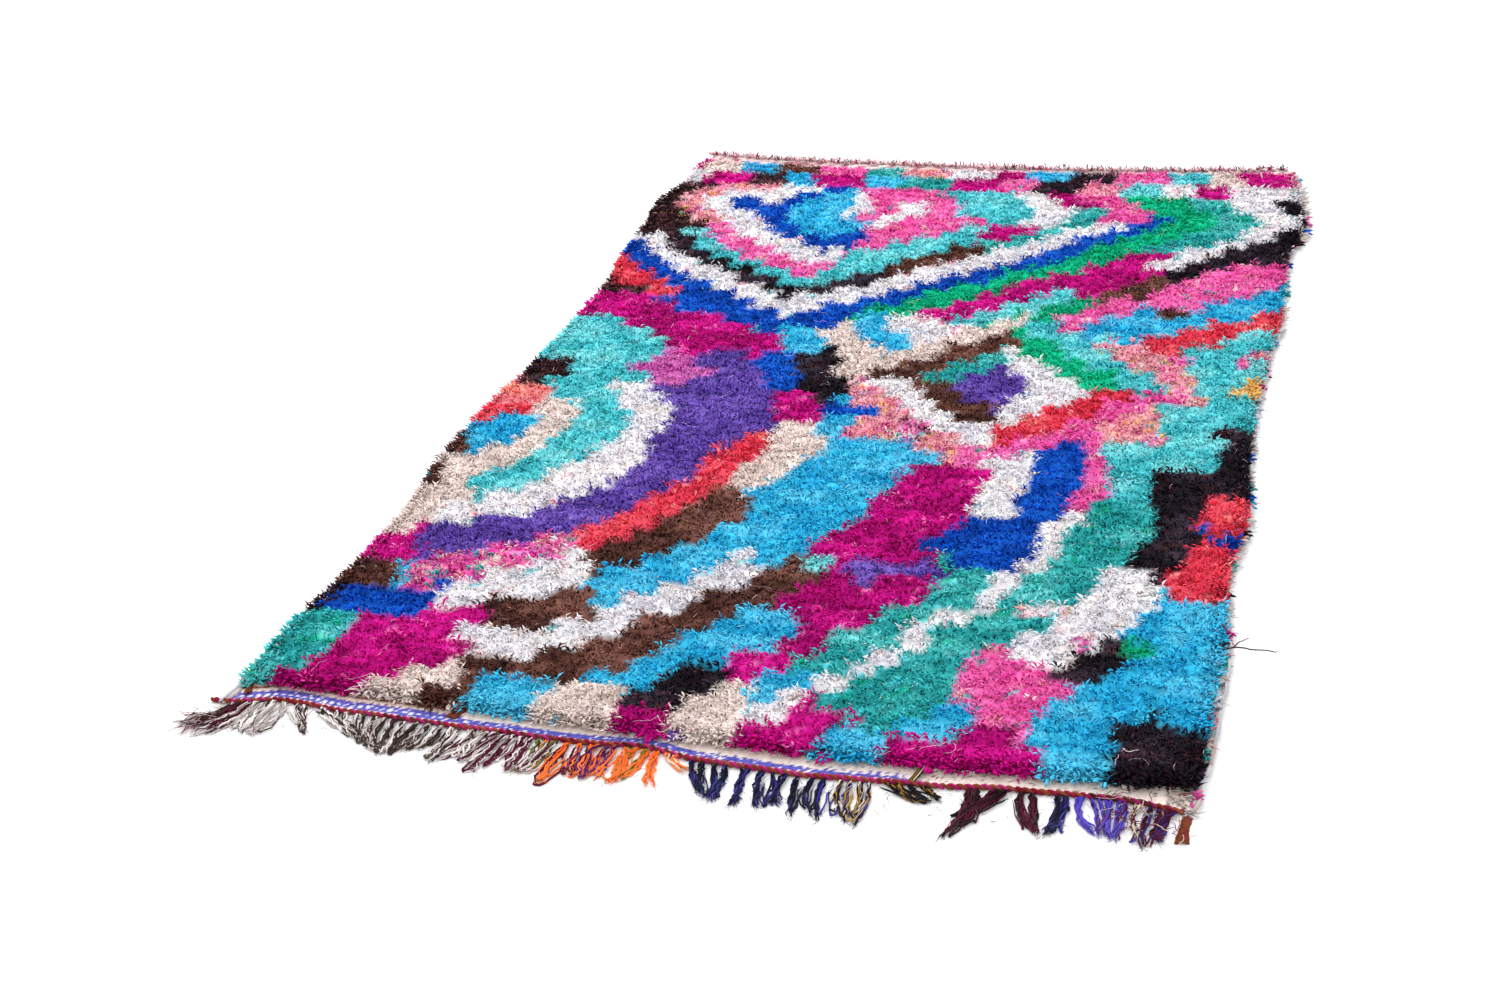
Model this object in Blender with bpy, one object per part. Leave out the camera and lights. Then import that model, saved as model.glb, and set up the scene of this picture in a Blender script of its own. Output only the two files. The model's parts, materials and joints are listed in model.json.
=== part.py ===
# Boucherouite rug lying flat: a shaggy rag pile, a flat-woven band and a knotted fringe at each end.
#
# Metres, +Z up. +X runs across the rug and +Y from the tasselled near end to the far end.
# "Across" and "along" below are measured from the near left corner of the weaving. The last step
# moves everything so that the origin is under the middle of the whole rug, on the floor.

import math
import random
from collections import namedtuple

import bmesh
import bpy
from mathutils import Matrix, Vector, noise

# Driving dimensions
PILE_HEIGHT = 0.027
RIM_HEIGHT = 0.017
LUMP_HEIGHT = 0.008
LUMP_SIZE = 0.055
RIPPLE_SHARE = 0.5
RIPPLE_FINENESS = 2.0
CELLS_ACROSS = 36
CELLS_ALONG = 58
CELL_JITTER = 0.008
LOCK_REACH = (0.012, 0.030)
LOCK_TIP_SHARE = 0.4
LOCK_TIP_HEIGHT = 0.45
LOCK_DRIFT = 0.006
SIDEWAYS = 0.8
UPRIGHT = 0.01
WEAVE_THICKNESS = 0.003
EDGING_RADIUS = 0.0042
EDGING_WAIST = 0.74
EDGING_GAP = 0.0008
TWIST_PITCH = 0.024
EDGING_OVERHANG = 0.020
EDGING_LINE = -0.03
FAR_STRIP_WIDTH = 0.009
FAR_STRANDS = 82
FAR_STRAND_REACH = (0.022, 0.046)
FAR_STRAND_WIDTH = 0.007
FAR_STRAND_HEIGHT = 0.004
FAR_STRAND_DRIFT = 0.004
RAG_THICKNESS = 0.002
GAP = 0.0003
WELD = 0.00001
SEED = 7

# The two long edges of the weaving, a row for every stretch of its length. The sides wander as
# the weaver's tension changed.
SideRow = namedtuple("SideRow", "along left right")
SIDES = (
    SideRow(-0.06, -0.008, 1.416),
    SideRow(0.00, 0.002, 1.424),
    SideRow(0.15, 0.002, 1.430),
    SideRow(0.35, 0.022, 1.434),
    SideRow(0.55, 0.024, 1.424),
    SideRow(0.75, 0.008, 1.442),
    SideRow(0.95, 0.010, 1.430),
    SideRow(1.15, 0.030, 1.428),
    SideRow(1.35, 0.036, 1.436),
    SideRow(1.55, 0.040, 1.452),
    SideRow(1.75, 0.016, 1.450),
    SideRow(1.90, 0.010, 1.450),
    SideRow(2.05, -0.006, 1.476),
    SideRow(2.20, 0.016, 1.460),
    SideRow(2.44, 0.020, 1.440),
)

# The lines that cross the rug, a row for every stretch of its width: the outer edge of the near
# band, the near and far edges of the pile, and the outer edge of the far band.
EndRow = namedtuple("EndRow", "across near_band near_pile far_pile far_band")
ENDS = (
    EndRow(0.00, -0.030, 0.024, 2.345, 2.430),
    EndRow(0.08, -0.012, 0.023, 2.338, 2.416),
    EndRow(0.20, -0.022, 0.022, 2.330, 2.404),
    EndRow(0.40, -0.028, 0.012, 2.322, 2.394),
    EndRow(0.55, -0.032, 0.005, 2.320, 2.390),
    EndRow(0.66, -0.026, 0.002, 2.320, 2.388),
    EndRow(0.75, -0.042, 0.000, 2.322, 2.388),
    EndRow(0.90, -0.048, -0.006, 2.328, 2.390),
    EndRow(1.05, -0.040, -0.002, 2.336, 2.395),
    EndRow(1.20, -0.026, 0.004, 2.348, 2.405),
    EndRow(1.32, -0.022, 0.008, 2.360, 2.416),
    EndRow(1.44, -0.036, 0.024, 2.362, 2.432),
)

# The knotted warp tassels of the near end, a row for each bunch. Roots are spaced from start to
# stop; the tips lean sideways and reach out from the edging, changing evenly through the bunch.
Bunch = namedtuple("Bunch", "start stop count lean_first lean_last reach_first reach_last width")
BUNCHES = (
    Bunch(0.012, 0.046, 4, -0.058, -0.034, 0.052, 0.096, 0.009),
    Bunch(0.058, 0.088, 3, -0.014, -0.010, 0.082, 0.092, 0.009),
    Bunch(0.108, 0.126, 2, 0.040, 0.038, 0.062, 0.070, 0.008),
    Bunch(0.150, 0.226, 6, 0.046, 0.040, 0.034, 0.072, 0.008),
    Bunch(0.244, 0.292, 4, 0.030, 0.010, 0.086, 0.086, 0.009),
    Bunch(0.314, 0.350, 3, -0.006, -0.014, 0.072, 0.060, 0.009),
    Bunch(0.366, 0.398, 3, -0.006, -0.014, 0.084, 0.078, 0.009),
    Bunch(0.412, 0.440, 3, -0.010, -0.012, 0.070, 0.084, 0.008),
    Bunch(0.454, 0.466, 2, -0.020, -0.016, 0.104, 0.080, 0.008),
    Bunch(0.480, 0.532, 5, -0.008, -0.012, 0.084, 0.080, 0.008),
    Bunch(0.552, 0.552, 1, -0.008, -0.008, 0.104, 0.104, 0.011),
    Bunch(0.570, 0.622, 5, 0.000, 0.000, 0.080, 0.082, 0.009),
    Bunch(0.636, 0.668, 3, -0.006, -0.014, 0.088, 0.076, 0.010),
    Bunch(0.684, 0.684, 1, 0.022, 0.022, 0.082, 0.082, 0.008),
    Bunch(0.700, 0.712, 2, 0.034, 0.034, 0.036, 0.026, 0.006),
    Bunch(0.740, 0.790, 5, 0.018, 0.010, 0.072, 0.082, 0.010),
    Bunch(0.812, 0.824, 2, 0.006, 0.004, 0.088, 0.084, 0.009),
    Bunch(0.842, 0.856, 2, 0.010, 0.008, 0.082, 0.078, 0.009),
    Bunch(0.878, 0.894, 2, 0.006, 0.016, 0.072, 0.090, 0.008),
    Bunch(0.916, 0.932, 2, 0.014, 0.014, 0.084, 0.092, 0.009),
    Bunch(0.954, 0.992, 4, 0.014, 0.006, 0.086, 0.096, 0.007),
    Bunch(1.016, 1.064, 4, 0.044, 0.036, 0.038, 0.026, 0.009),
    Bunch(1.122, 1.134, 2, -0.014, -0.008, 0.106, 0.086, 0.010),
    Bunch(1.160, 1.172, 2, -0.018, -0.016, 0.072, 0.058, 0.010),
    Bunch(1.202, 1.214, 2, 0.020, 0.018, 0.080, 0.084, 0.009),
    Bunch(1.244, 1.256, 2, -0.004, -0.006, 0.086, 0.082, 0.010),
    Bunch(1.272, 1.336, 8, 0.022, 0.002, 0.074, 0.088, 0.006),
    Bunch(1.350, 1.358, 2, 0.004, 0.004, 0.066, 0.070, 0.004),
    Bunch(1.372, 1.400, 4, -0.006, -0.008, 0.088, 0.066, 0.008),
)
TASSEL_SIDES = 4
TASSEL_STEPS = 3
TASSEL_TIP_SHARE = 0.6
TASSEL_FLATNESS = 0.7
TASSEL_BEND = 1.6
FAR_STRAND_SIDES = 3
FAR_TIP_SHARE = 0.45

# Rag ends knotted in at the near end. Each is a short flat strip, given by its middle line and
# width; "base" is the height that it lies at.
RagEnd = namedtuple("RagEnd", "name start end width base")
RAG_ENDS = (
    RagEnd("rust_rag_left", (0.012, 0.016), (0.022, -0.012), 0.012, WEAVE_THICKNESS + GAP),
    RagEnd("rust_rag_middle", (0.368, 0.010), (0.356, -0.016), 0.016, WEAVE_THICKNESS + GAP),
    RagEnd("rust_rag_corner", (1.418, -0.0439), (1.416, -0.102), 0.018, 0.0),
)
RAG_CELLS = 4
RAG_WAIST = 0.72

Finish = namedtuple("Finish", "colour roughness")
FINISHES = {
    "rag_pile": Finish((0.10, 0.45, 0.62), 0.95),
    "band_weave": Finish((0.78, 0.70, 0.66), 0.92),
    "fringe_yarn": Finish((0.30, 0.22, 0.34), 0.90),
    "rust_rag": Finish((0.36, 0.14, 0.06), 0.85),
}


def clear_scene():
    for obj in list(bpy.data.objects):
        bpy.data.objects.remove(obj)


def make_collection(name):
    collection = bpy.data.collections.new(name)
    bpy.context.scene.collection.children.link(collection)
    return collection


def make_material(name):
    finish = FINISHES[name]
    material = bpy.data.materials.new(name)
    material.use_nodes = True
    shader = material.node_tree.nodes["Principled BSDF"]
    shader.inputs["Base Color"].default_value = (*finish.colour, 1.0)
    shader.inputs["Roughness"].default_value = finish.roughness
    shader.inputs["Metallic"].default_value = 0.0
    return material


def make_object(name, bm, collection, material):
    """Turns a bmesh into a named object of the rug."""
    bmesh.ops.recalc_face_normals(bm, faces=bm.faces)
    mesh = bpy.data.meshes.new(name)
    bm.to_mesh(mesh)
    bm.free()
    obj = bpy.data.objects.new(name, mesh)
    obj.data.materials.append(material)
    collection.objects.link(obj)
    return obj


def read(rows, at, column):
    """The value of a column where the first column reaches at, eased between the rows."""
    for low, high in zip(rows, rows[1:]):
        if at <= high[0]:
            share = max(0.0, (at - low[0]) / (high[0] - low[0]))
            eased = share * share * (3 - 2 * share)
            return getattr(low, column) + eased * (getattr(high, column) - getattr(low, column))
    return getattr(rows[-1], column)


def band_point(share_across, share_along, near_column, far_column, inset_near=0.0, inset_far=0.0):
    """A floor point between two of the lines that cross the rug, each moved inwards by an inset."""
    across = share_across * SIDES[0].right
    near = read(ENDS, across, near_column) + inset_near
    far = read(ENDS, across, far_column) - inset_far
    along = near + share_along * (far - near)
    left = read(SIDES, along, "left")
    right = read(SIDES, along, "right")
    return Vector((left + share_across * (right - left), along, 0.0))


def lay_grid(cells_across, cells_along, place):
    """A grid laid flat on the floor, each vertex put where place says for its two shares."""
    bm = bmesh.new()
    bmesh.ops.create_grid(bm, x_segments=cells_across, y_segments=cells_along, size=0.5)
    for vertex in bm.verts:
        vertex.co = place(vertex.co.x + 0.5, vertex.co.y + 0.5)
    return bm


def raise_top(bm, height_at):
    """Extrudes a flat sheet upwards and leaves its underside as one flat face."""
    raised = bmesh.ops.extrude_face_region(bm, geom=bm.faces[:])["geom"]
    top = [part for part in raised if isinstance(part, bmesh.types.BMVert)]
    heights = {vertex: height_at(vertex) for vertex in top}
    for vertex, height in heights.items():
        vertex.co.z = height
    underside = [face for face in bm.faces if all(v.co.z == 0.0 for v in face.verts)]
    bmesh.ops.dissolve_faces(bm, faces=underside)
    return bm



def make_pile(collection, material, rng):
    """The pile and its ground weave: one lumpy slab with locks of rag at both long rims."""

    def place(share_across, share_along):
        point = band_point(share_across, share_along, "near_pile", "far_pile", GAP, GAP)
        inner = 0 < share_across < 1 and 0 < share_along < 1
        if inner:
            point.x += rng.uniform(-CELL_JITTER, CELL_JITTER)
            point.y += rng.uniform(-CELL_JITTER, CELL_JITTER)
        return point

    bm = lay_grid(CELLS_ACROSS, CELLS_ALONG, place)
    rim = bm.verts.layers.int.new("rim")
    for vertex in bm.verts:
        vertex[rim] = vertex.is_boundary

    def height_at(vertex):
        spot = Vector((vertex.co.x, vertex.co.y, 0.0)) / LUMP_SIZE
        lumps = noise.noise(spot) + RIPPLE_SHARE * noise.noise(spot * RIPPLE_FINENESS)
        level = RIM_HEIGHT if vertex[rim] else PILE_HEIGHT
        return level + LUMP_HEIGHT * lumps

    raise_top(bm, height_at)
    bmesh.ops.recalc_face_normals(bm, faces=bm.faces)
    add_rim_locks(bm, rng)
    return make_object("pile_field", bm, collection, material)


def add_rim_locks(bm, rng):
    """Draws each wall face of the two long rims out into a four-sided lock that rests on the floor."""
    walls = [f for f in bm.faces if abs(f.normal.x) > SIDEWAYS and abs(f.normal.z) < UPRIGHT]
    middle_line = SIDES[0].right / 2
    drawn = bmesh.ops.extrude_discrete_faces(bm, faces=walls)["faces"]
    for face in sorted(drawn, key=lambda f: f.calc_center_median()[:]):
        middle = face.calc_center_median()
        reach = math.copysign(rng.uniform(*LOCK_REACH), middle.x - middle_line)
        drift = rng.uniform(-LOCK_DRIFT, LOCK_DRIFT)
        for vertex in face.verts:
            vertex.co.y = middle.y + LOCK_TIP_SHARE * (vertex.co.y - middle.y)
            vertex.co.z *= LOCK_TIP_HEIGHT
            vertex.co += Vector((reach, drift, 0))


def make_band(name, near_column, far_column, insets, collection, material):
    """A flat-woven end band, one sheet with a flat underside."""

    def place(share_across, share_along):
        return band_point(share_across, share_along, near_column, far_column, *insets)

    bm = lay_grid(CELLS_ACROSS, 1, place)
    raise_top(bm, lambda vertex: WEAVE_THICKNESS)
    return make_object(name, bm, collection, material)


def add_strand(bm, path, sides, width, flatness, tip_share):
    """Extrudes a small flat-bottomed section along a path on the floor, tapering to its tip."""
    headings = [(b - a).normalized() for a, b in zip(path, path[1:])]
    turn = math.pi / sides if sides % 2 == 0 else 0.0
    upright = Matrix.Rotation(math.pi / 2, 4, "X") @ Matrix.Rotation(turn, 4, "Z")
    facing = Matrix.Rotation(math.atan2(headings[0].y, headings[0].x) + math.pi / 2, 4, "Z")
    squash = Matrix.Diagonal((1.0, 1.0, flatness, 1.0))
    made = bmesh.ops.create_circle(
        bm,
        cap_ends=True,
        segments=sides,
        radius=width * 0.5 / math.cos(math.pi / 4),
        matrix=Matrix.Translation(path[0]) @ facing @ squash @ upright,
    )["verts"]
    drop = min(vertex.co.z for vertex in made)
    bmesh.ops.translate(bm, verts=made, vec=Vector((0, 0, path[0].z - drop)))
    root = made[0].link_faces[0]
    raised = bmesh.ops.extrude_face_region(bm, geom=[root])["geom"]
    end = next(part for part in raised if isinstance(part, bmesh.types.BMFace))
    for step, heading in enumerate(headings):
        if step > 0:
            end = bmesh.ops.extrude_discrete_faces(bm, faces=[end])["faces"][0]
        here = path[step + 1]
        bmesh.ops.translate(bm, verts=end.verts, vec=here - path[step])
        if step + 1 < len(headings):
            angle = heading.xy.angle_signed(headings[step + 1].xy)
            bend = Matrix.Rotation(-angle, 3, "Z")
            bmesh.ops.rotate(bm, verts=end.verts, cent=here, matrix=bend)
    tip = Matrix.Translation(-path[-1])
    bmesh.ops.scale(bm, verts=end.verts, vec=Vector((1, 1, 1)) * tip_share, space=tip)


def fuse(base, added):
    """Joins a solid to the base with a live union; the added solid stays behind as its helper."""
    union = base.modifiers.new("fuse", "BOOLEAN")
    union.operation = "UNION"
    union.solver = "EXACT"
    union.object = added
    added.hide_render = True
    added.display_type = "WIRE"


def make_edging(name, collection, material):
    """The twined cord that closes the near band, swelling and narrowing with its twist."""
    right = read(SIDES, EDGING_LINE, "right")
    left = read(SIDES, EDGING_LINE, "left") - EDGING_OVERHANG
    half_twists = round((right - left) / TWIST_PITCH) * 2
    curve = bpy.data.curves.new(name, "CURVE")
    curve.dimensions = "3D"
    curve.bevel_depth = EDGING_RADIUS
    curve.bevel_resolution = 1
    curve.use_fill_caps = True
    spline = curve.splines.new("POLY")
    spline.points.add(half_twists)
    for index, point in enumerate(spline.points):
        across = left + (right - left) * index / half_twists
        along = read(ENDS, across, "near_band") - EDGING_RADIUS - EDGING_GAP
        point.co = (across, along, EDGING_RADIUS, 1.0)
        point.radius = EDGING_WAIST if index % 2 else 1.0
    tube = bpy.data.objects.new(name + "_guide", curve)
    collection.objects.link(tube)
    bpy.context.view_layer.update()
    graph = bpy.context.evaluated_depsgraph_get()
    mesh = bpy.data.meshes.new_from_object(tube.evaluated_get(graph))
    bm = bmesh.new()
    bm.from_mesh(mesh)
    bmesh.ops.remove_doubles(bm, verts=bm.verts, dist=WELD)
    bpy.data.objects.remove(tube)
    bpy.data.meshes.remove(mesh)
    return make_object(name, bm, collection, material)


def tassel_path(across, lean, reach):
    """The middle line of a tassel, from inside the edging out over the floor, bending to its lean."""
    root = Vector((across, read(ENDS, across, "near_band") - EDGING_RADIUS, 0.0))
    path = []
    for step in range(TASSEL_STEPS + 1):
        share = step / TASSEL_STEPS
        path.append(root + Vector((lean * share**TASSEL_BEND, -reach * share, 0.0)))
    return path


def make_near_fringe(collection, cutters, material):
    """The edging with every warp tassel fused to it by its root."""
    bm = bmesh.new()
    for bunch in BUNCHES:
        for index in range(bunch.count):
            share = index / max(1, bunch.count - 1)
            across = bunch.start + share * (bunch.stop - bunch.start)
            lean = bunch.lean_first + share * (bunch.lean_last - bunch.lean_first)
            reach = bunch.reach_first + share * (bunch.reach_last - bunch.reach_first)
            path = tassel_path(across, lean, reach)
            add_strand(bm, path, TASSEL_SIDES, bunch.width, TASSEL_FLATNESS, TASSEL_TIP_SHARE)
    tassels = make_object("near_tassels", bm, cutters, material)
    edging = make_edging("near_fringe", collection, material)
    fuse(edging, tassels)
    return edging


def make_far_fringe(collection, cutters, material, rng):
    """The cut warp ends of the far end, fused to a narrow knotted strip along the far band."""

    def place(share_across, share_along):
        point = band_point(share_across, 1.0, "near_pile", "far_band")
        point.y += GAP + share_along * FAR_STRIP_WIDTH
        return point

    bm = lay_grid(CELLS_ACROSS, 1, place)
    raise_top(bm, lambda vertex: WEAVE_THICKNESS)
    strip = make_object("far_fringe", bm, collection, material)
    bm = bmesh.new()
    for index in range(FAR_STRANDS):
        share = (index + 0.5) / FAR_STRANDS
        root = place(share, 0.5)
        drift = rng.uniform(-FAR_STRAND_DRIFT, FAR_STRAND_DRIFT)
        tip = root + Vector((drift, rng.uniform(*FAR_STRAND_REACH), 0.0))
        path = [root, tip]
        flatness = FAR_STRAND_HEIGHT / FAR_STRAND_WIDTH
        add_strand(bm, path, FAR_STRAND_SIDES, FAR_STRAND_WIDTH, flatness, FAR_TIP_SHARE)
    strands = make_object("far_strands", bm, cutters, material)
    fuse(strip, strands)
    return strip


def make_rag_end(rag, collection, material):
    """A short flat strip of rag, narrower in the middle where it is pulled through."""
    start, end = Vector((*rag.start, 0.0)), Vector((*rag.end, 0.0))
    side = (end - start).normalized().cross(Vector((0, 0, 1)))

    def place(share_across, share_along):
        pinch = 1.0 - (1.0 - RAG_WAIST) * math.sin(math.pi * share_along)
        return start.lerp(end, share_along) + side * (share_across - 0.5) * rag.width * pinch

    bm = lay_grid(1, RAG_CELLS, place)
    raise_top(bm, lambda vertex: RAG_THICKNESS)
    bmesh.ops.translate(bm, verts=bm.verts, vec=Vector((0, 0, rag.base)))
    return make_object(rag.name, bm, collection, material)


def centre_on_floor(objects):
    """Puts the origin under the middle of the rug, at the floor."""
    bpy.context.view_layer.update()
    graph = bpy.context.evaluated_depsgraph_get()
    corners = [
        obj.matrix_world @ Vector(corner)
        for obj in objects
        for corner in obj.evaluated_get(graph).bound_box
    ]
    middle_x = (min(c.x for c in corners) + max(c.x for c in corners)) / 2
    middle_y = (min(c.y for c in corners) + max(c.y for c in corners)) / 2
    for obj in bpy.data.objects:
        obj.location = (-middle_x, -middle_y, 0.0)


def main():
    clear_scene()
    rng = random.Random(SEED)
    rug = make_collection("boucherouite_rug")
    cutters = make_collection("boucherouite_rug_helpers")
    pile = make_material("rag_pile")
    weave = make_material("band_weave")
    yarn = make_material("fringe_yarn")
    rust = make_material("rust_rag")
    pieces = [
        make_pile(rug, pile, rng),
        make_band("near_band", "near_band", "near_pile", (0.0, 0.0), rug, weave),
        make_band("far_band", "far_pile", "far_band", (0.0, 0.0), rug, weave),
        make_near_fringe(rug, cutters, yarn),
        make_far_fringe(rug, cutters, yarn, rng),
    ]
    pieces += [make_rag_end(rag, rug, rust) for rag in RAG_ENDS]
    centre_on_floor(pieces)


main()
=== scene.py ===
import json
import math
import random

import bpy
import numpy as np
from mathutils import Matrix, Vector, noise

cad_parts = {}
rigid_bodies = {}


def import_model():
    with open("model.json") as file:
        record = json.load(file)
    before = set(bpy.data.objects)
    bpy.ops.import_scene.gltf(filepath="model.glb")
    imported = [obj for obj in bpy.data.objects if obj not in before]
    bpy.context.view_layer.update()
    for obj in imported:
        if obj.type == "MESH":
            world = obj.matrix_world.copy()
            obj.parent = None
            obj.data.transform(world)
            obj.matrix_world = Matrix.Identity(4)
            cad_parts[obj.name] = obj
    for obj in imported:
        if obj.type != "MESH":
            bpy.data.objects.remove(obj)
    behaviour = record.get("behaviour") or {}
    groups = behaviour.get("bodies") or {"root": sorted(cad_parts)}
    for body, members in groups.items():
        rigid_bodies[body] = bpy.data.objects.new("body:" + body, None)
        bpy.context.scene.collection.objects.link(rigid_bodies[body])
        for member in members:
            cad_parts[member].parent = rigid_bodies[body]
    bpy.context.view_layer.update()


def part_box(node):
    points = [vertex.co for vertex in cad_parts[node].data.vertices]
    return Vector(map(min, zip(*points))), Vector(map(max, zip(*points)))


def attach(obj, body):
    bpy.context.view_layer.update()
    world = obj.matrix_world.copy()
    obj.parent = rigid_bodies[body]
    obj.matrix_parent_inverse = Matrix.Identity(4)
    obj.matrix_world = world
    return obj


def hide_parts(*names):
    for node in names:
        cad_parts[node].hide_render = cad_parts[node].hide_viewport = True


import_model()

# The rug is laid out in metres from the near left corner of its weaving: x across, y along.
# The near band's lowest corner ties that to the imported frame.
bandCorner = Vector((-0.003, -0.048, 0.0))
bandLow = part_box("near_band")[0]
rugOrigin = Vector((bandLow[0], bandLow[1], 0.0)) - bandCorner


def toFrame(x, y, z=0.0):
    return Vector((x, y, z)) + rugOrigin


# Left and right edge of the weaving, in metres, at places along the rug
sides = {
    "along": (-0.06, 0.0, 0.15, 0.35, 0.55, 0.75, 0.95, 1.15, 1.35, 1.55, 1.75, 1.9, 2.05, 2.2, 2.44),
    "left": (-0.008, 0.002, 0.002, 0.022, 0.024, 0.008, 0.010, 0.030, 0.036, 0.040, 0.016, 0.010,
             -0.006, 0.016, 0.020),
    "right": (1.416, 1.424, 1.430, 1.434, 1.424, 1.442, 1.430, 1.428, 1.436, 1.452, 1.450, 1.450,
              1.476, 1.460, 1.440),
}
# The lines that cross the rug: outer edge of the near band, both edges of the pile, outer edge of the far band
ends = {
    "across": (0.0, 0.08, 0.2, 0.4, 0.55, 0.66, 0.75, 0.9, 1.05, 1.2, 1.32, 1.44),
    "nearBand": (-0.030, -0.012, -0.022, -0.028, -0.032, -0.026, -0.042, -0.048, -0.040, -0.026, -0.022,
                 -0.036),
    "nearPile": (0.024, 0.023, 0.022, 0.012, 0.005, 0.002, 0.000, -0.006, -0.002, 0.004, 0.008, 0.024),
    "farPile": (2.345, 2.338, 2.330, 2.322, 2.320, 2.320, 2.322, 2.328, 2.336, 2.348, 2.360, 2.362),
    "farBand": (2.430, 2.416, 2.404, 2.394, 2.390, 2.388, 2.388, 2.390, 2.395, 2.405, 2.416, 2.432),
}
weave = {"thickness": 0.003, "edgingRadius": 0.0042, "edgingGap": 0.0008, "width": 1.416}


def readLine(table, key, column, at):
    places, values = table[key], table[column]
    for low, high, first, last in zip(places, places[1:], values, values[1:]):
        if at <= high:
            share = max(0.0, (at - low) / (high - low))
            return first + share * share * (3 - 2 * share) * (last - first)
    return values[-1]


def sideLine(side, along):
    return readLine(sides, "along", side, along)


def endLine(name, across):
    return readLine(ends, "across", name, across)


def weavePoint(shareAcross, shareAlong, nearLine, farLine):
    across = shareAcross * weave["width"]
    along = endLine(nearLine, across) + shareAlong * (endLine(farLine, across) - endLine(nearLine, across))
    left, right = sideLine("left", along), sideLine("right", along)
    return left + shareAcross * (right - left), along


# Dye baths: each dye has a few lots, and the mixed rags take theirs from several baths
dyes = {
    "white": ("ebe8ed", "e2e0e8", "f0eef0"),
    "cream": ("e8d8d2", "decdc6", "f0e2dc"),
    "sky": ("3ac2e8", "62d0f0", "26acdc"),
    "turquoise": ("64d6e0", "8ee4e8", "48c6ce"),
    "teal": ("3ab8b8", "5ccac8", "2aa4a6"),
    "green": ("06c090", "12cc9c", "04ac7c"),
    "royal": ("0c58c8", "1a6ad8", "084ab2"),
    "purple": ("7254b8", "8668c8", "6046a4"),
    "magenta": ("cc0e8a", "e01e9e", "ae0872"),
    "pink": ("f268b6", "f682c6", "e852a6"),
    "mauve": ("d468bc", "e080c8", "c85aae"),
    "salmon": ("eeaab6", "f4bcc2", "ea98a6"),
    "coral": ("fa9a98", "fba48e", "f68c9a"),
    "rose": ("f49cb8", "f080a8", "f8b2c4"),
    "red": ("f04a64", "f66272", "da364e"),
    "brown": ("72493f", "926459", "55342d"),
    "plum": ("42242c", "64404a", "30181e"),
    "black": ("2a222e", "463c4a", "1c171e"),
    "yellow": ("f6c46c", "f8cc80", "f0b060"),
}
mixedRags = {
    "confetti": ("pink", "pink", "rose", "magenta", "pink", "mauve", "salmon", "pink", "cream", "teal"),
    "print": ("pink", "cream", "mauve", "pink", "teal", "salmon", "plum", "pink", "cream"),
    "whitePrint": ("white", "white", "cream", "white", "salmon", "white", "turquoise", "white", "yellow"),
}
flecks = {
    "white": (("cream", 0.05), ("salmon", 0.012), ("turquoise", 0.008)),
    "pink": (("confetti", 0.10), ("salmon", 0.04)),
    "salmon": (("confetti", 0.18), ("yellow", 0.05)),
    "rose": (("confetti", 0.18),),
    "teal": (("turquoise", 0.10), ("green", 0.03)),
    "turquoise": (("teal", 0.07),),
    "black": (("plum", 0.16),),
    "plum": (("black", 0.22), ("brown", 0.16)),
    "brown": (("plum", 0.05),),
    "magenta": (("pink", 0.03),),
    "red": (("coral", 0.06),),
}

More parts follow.
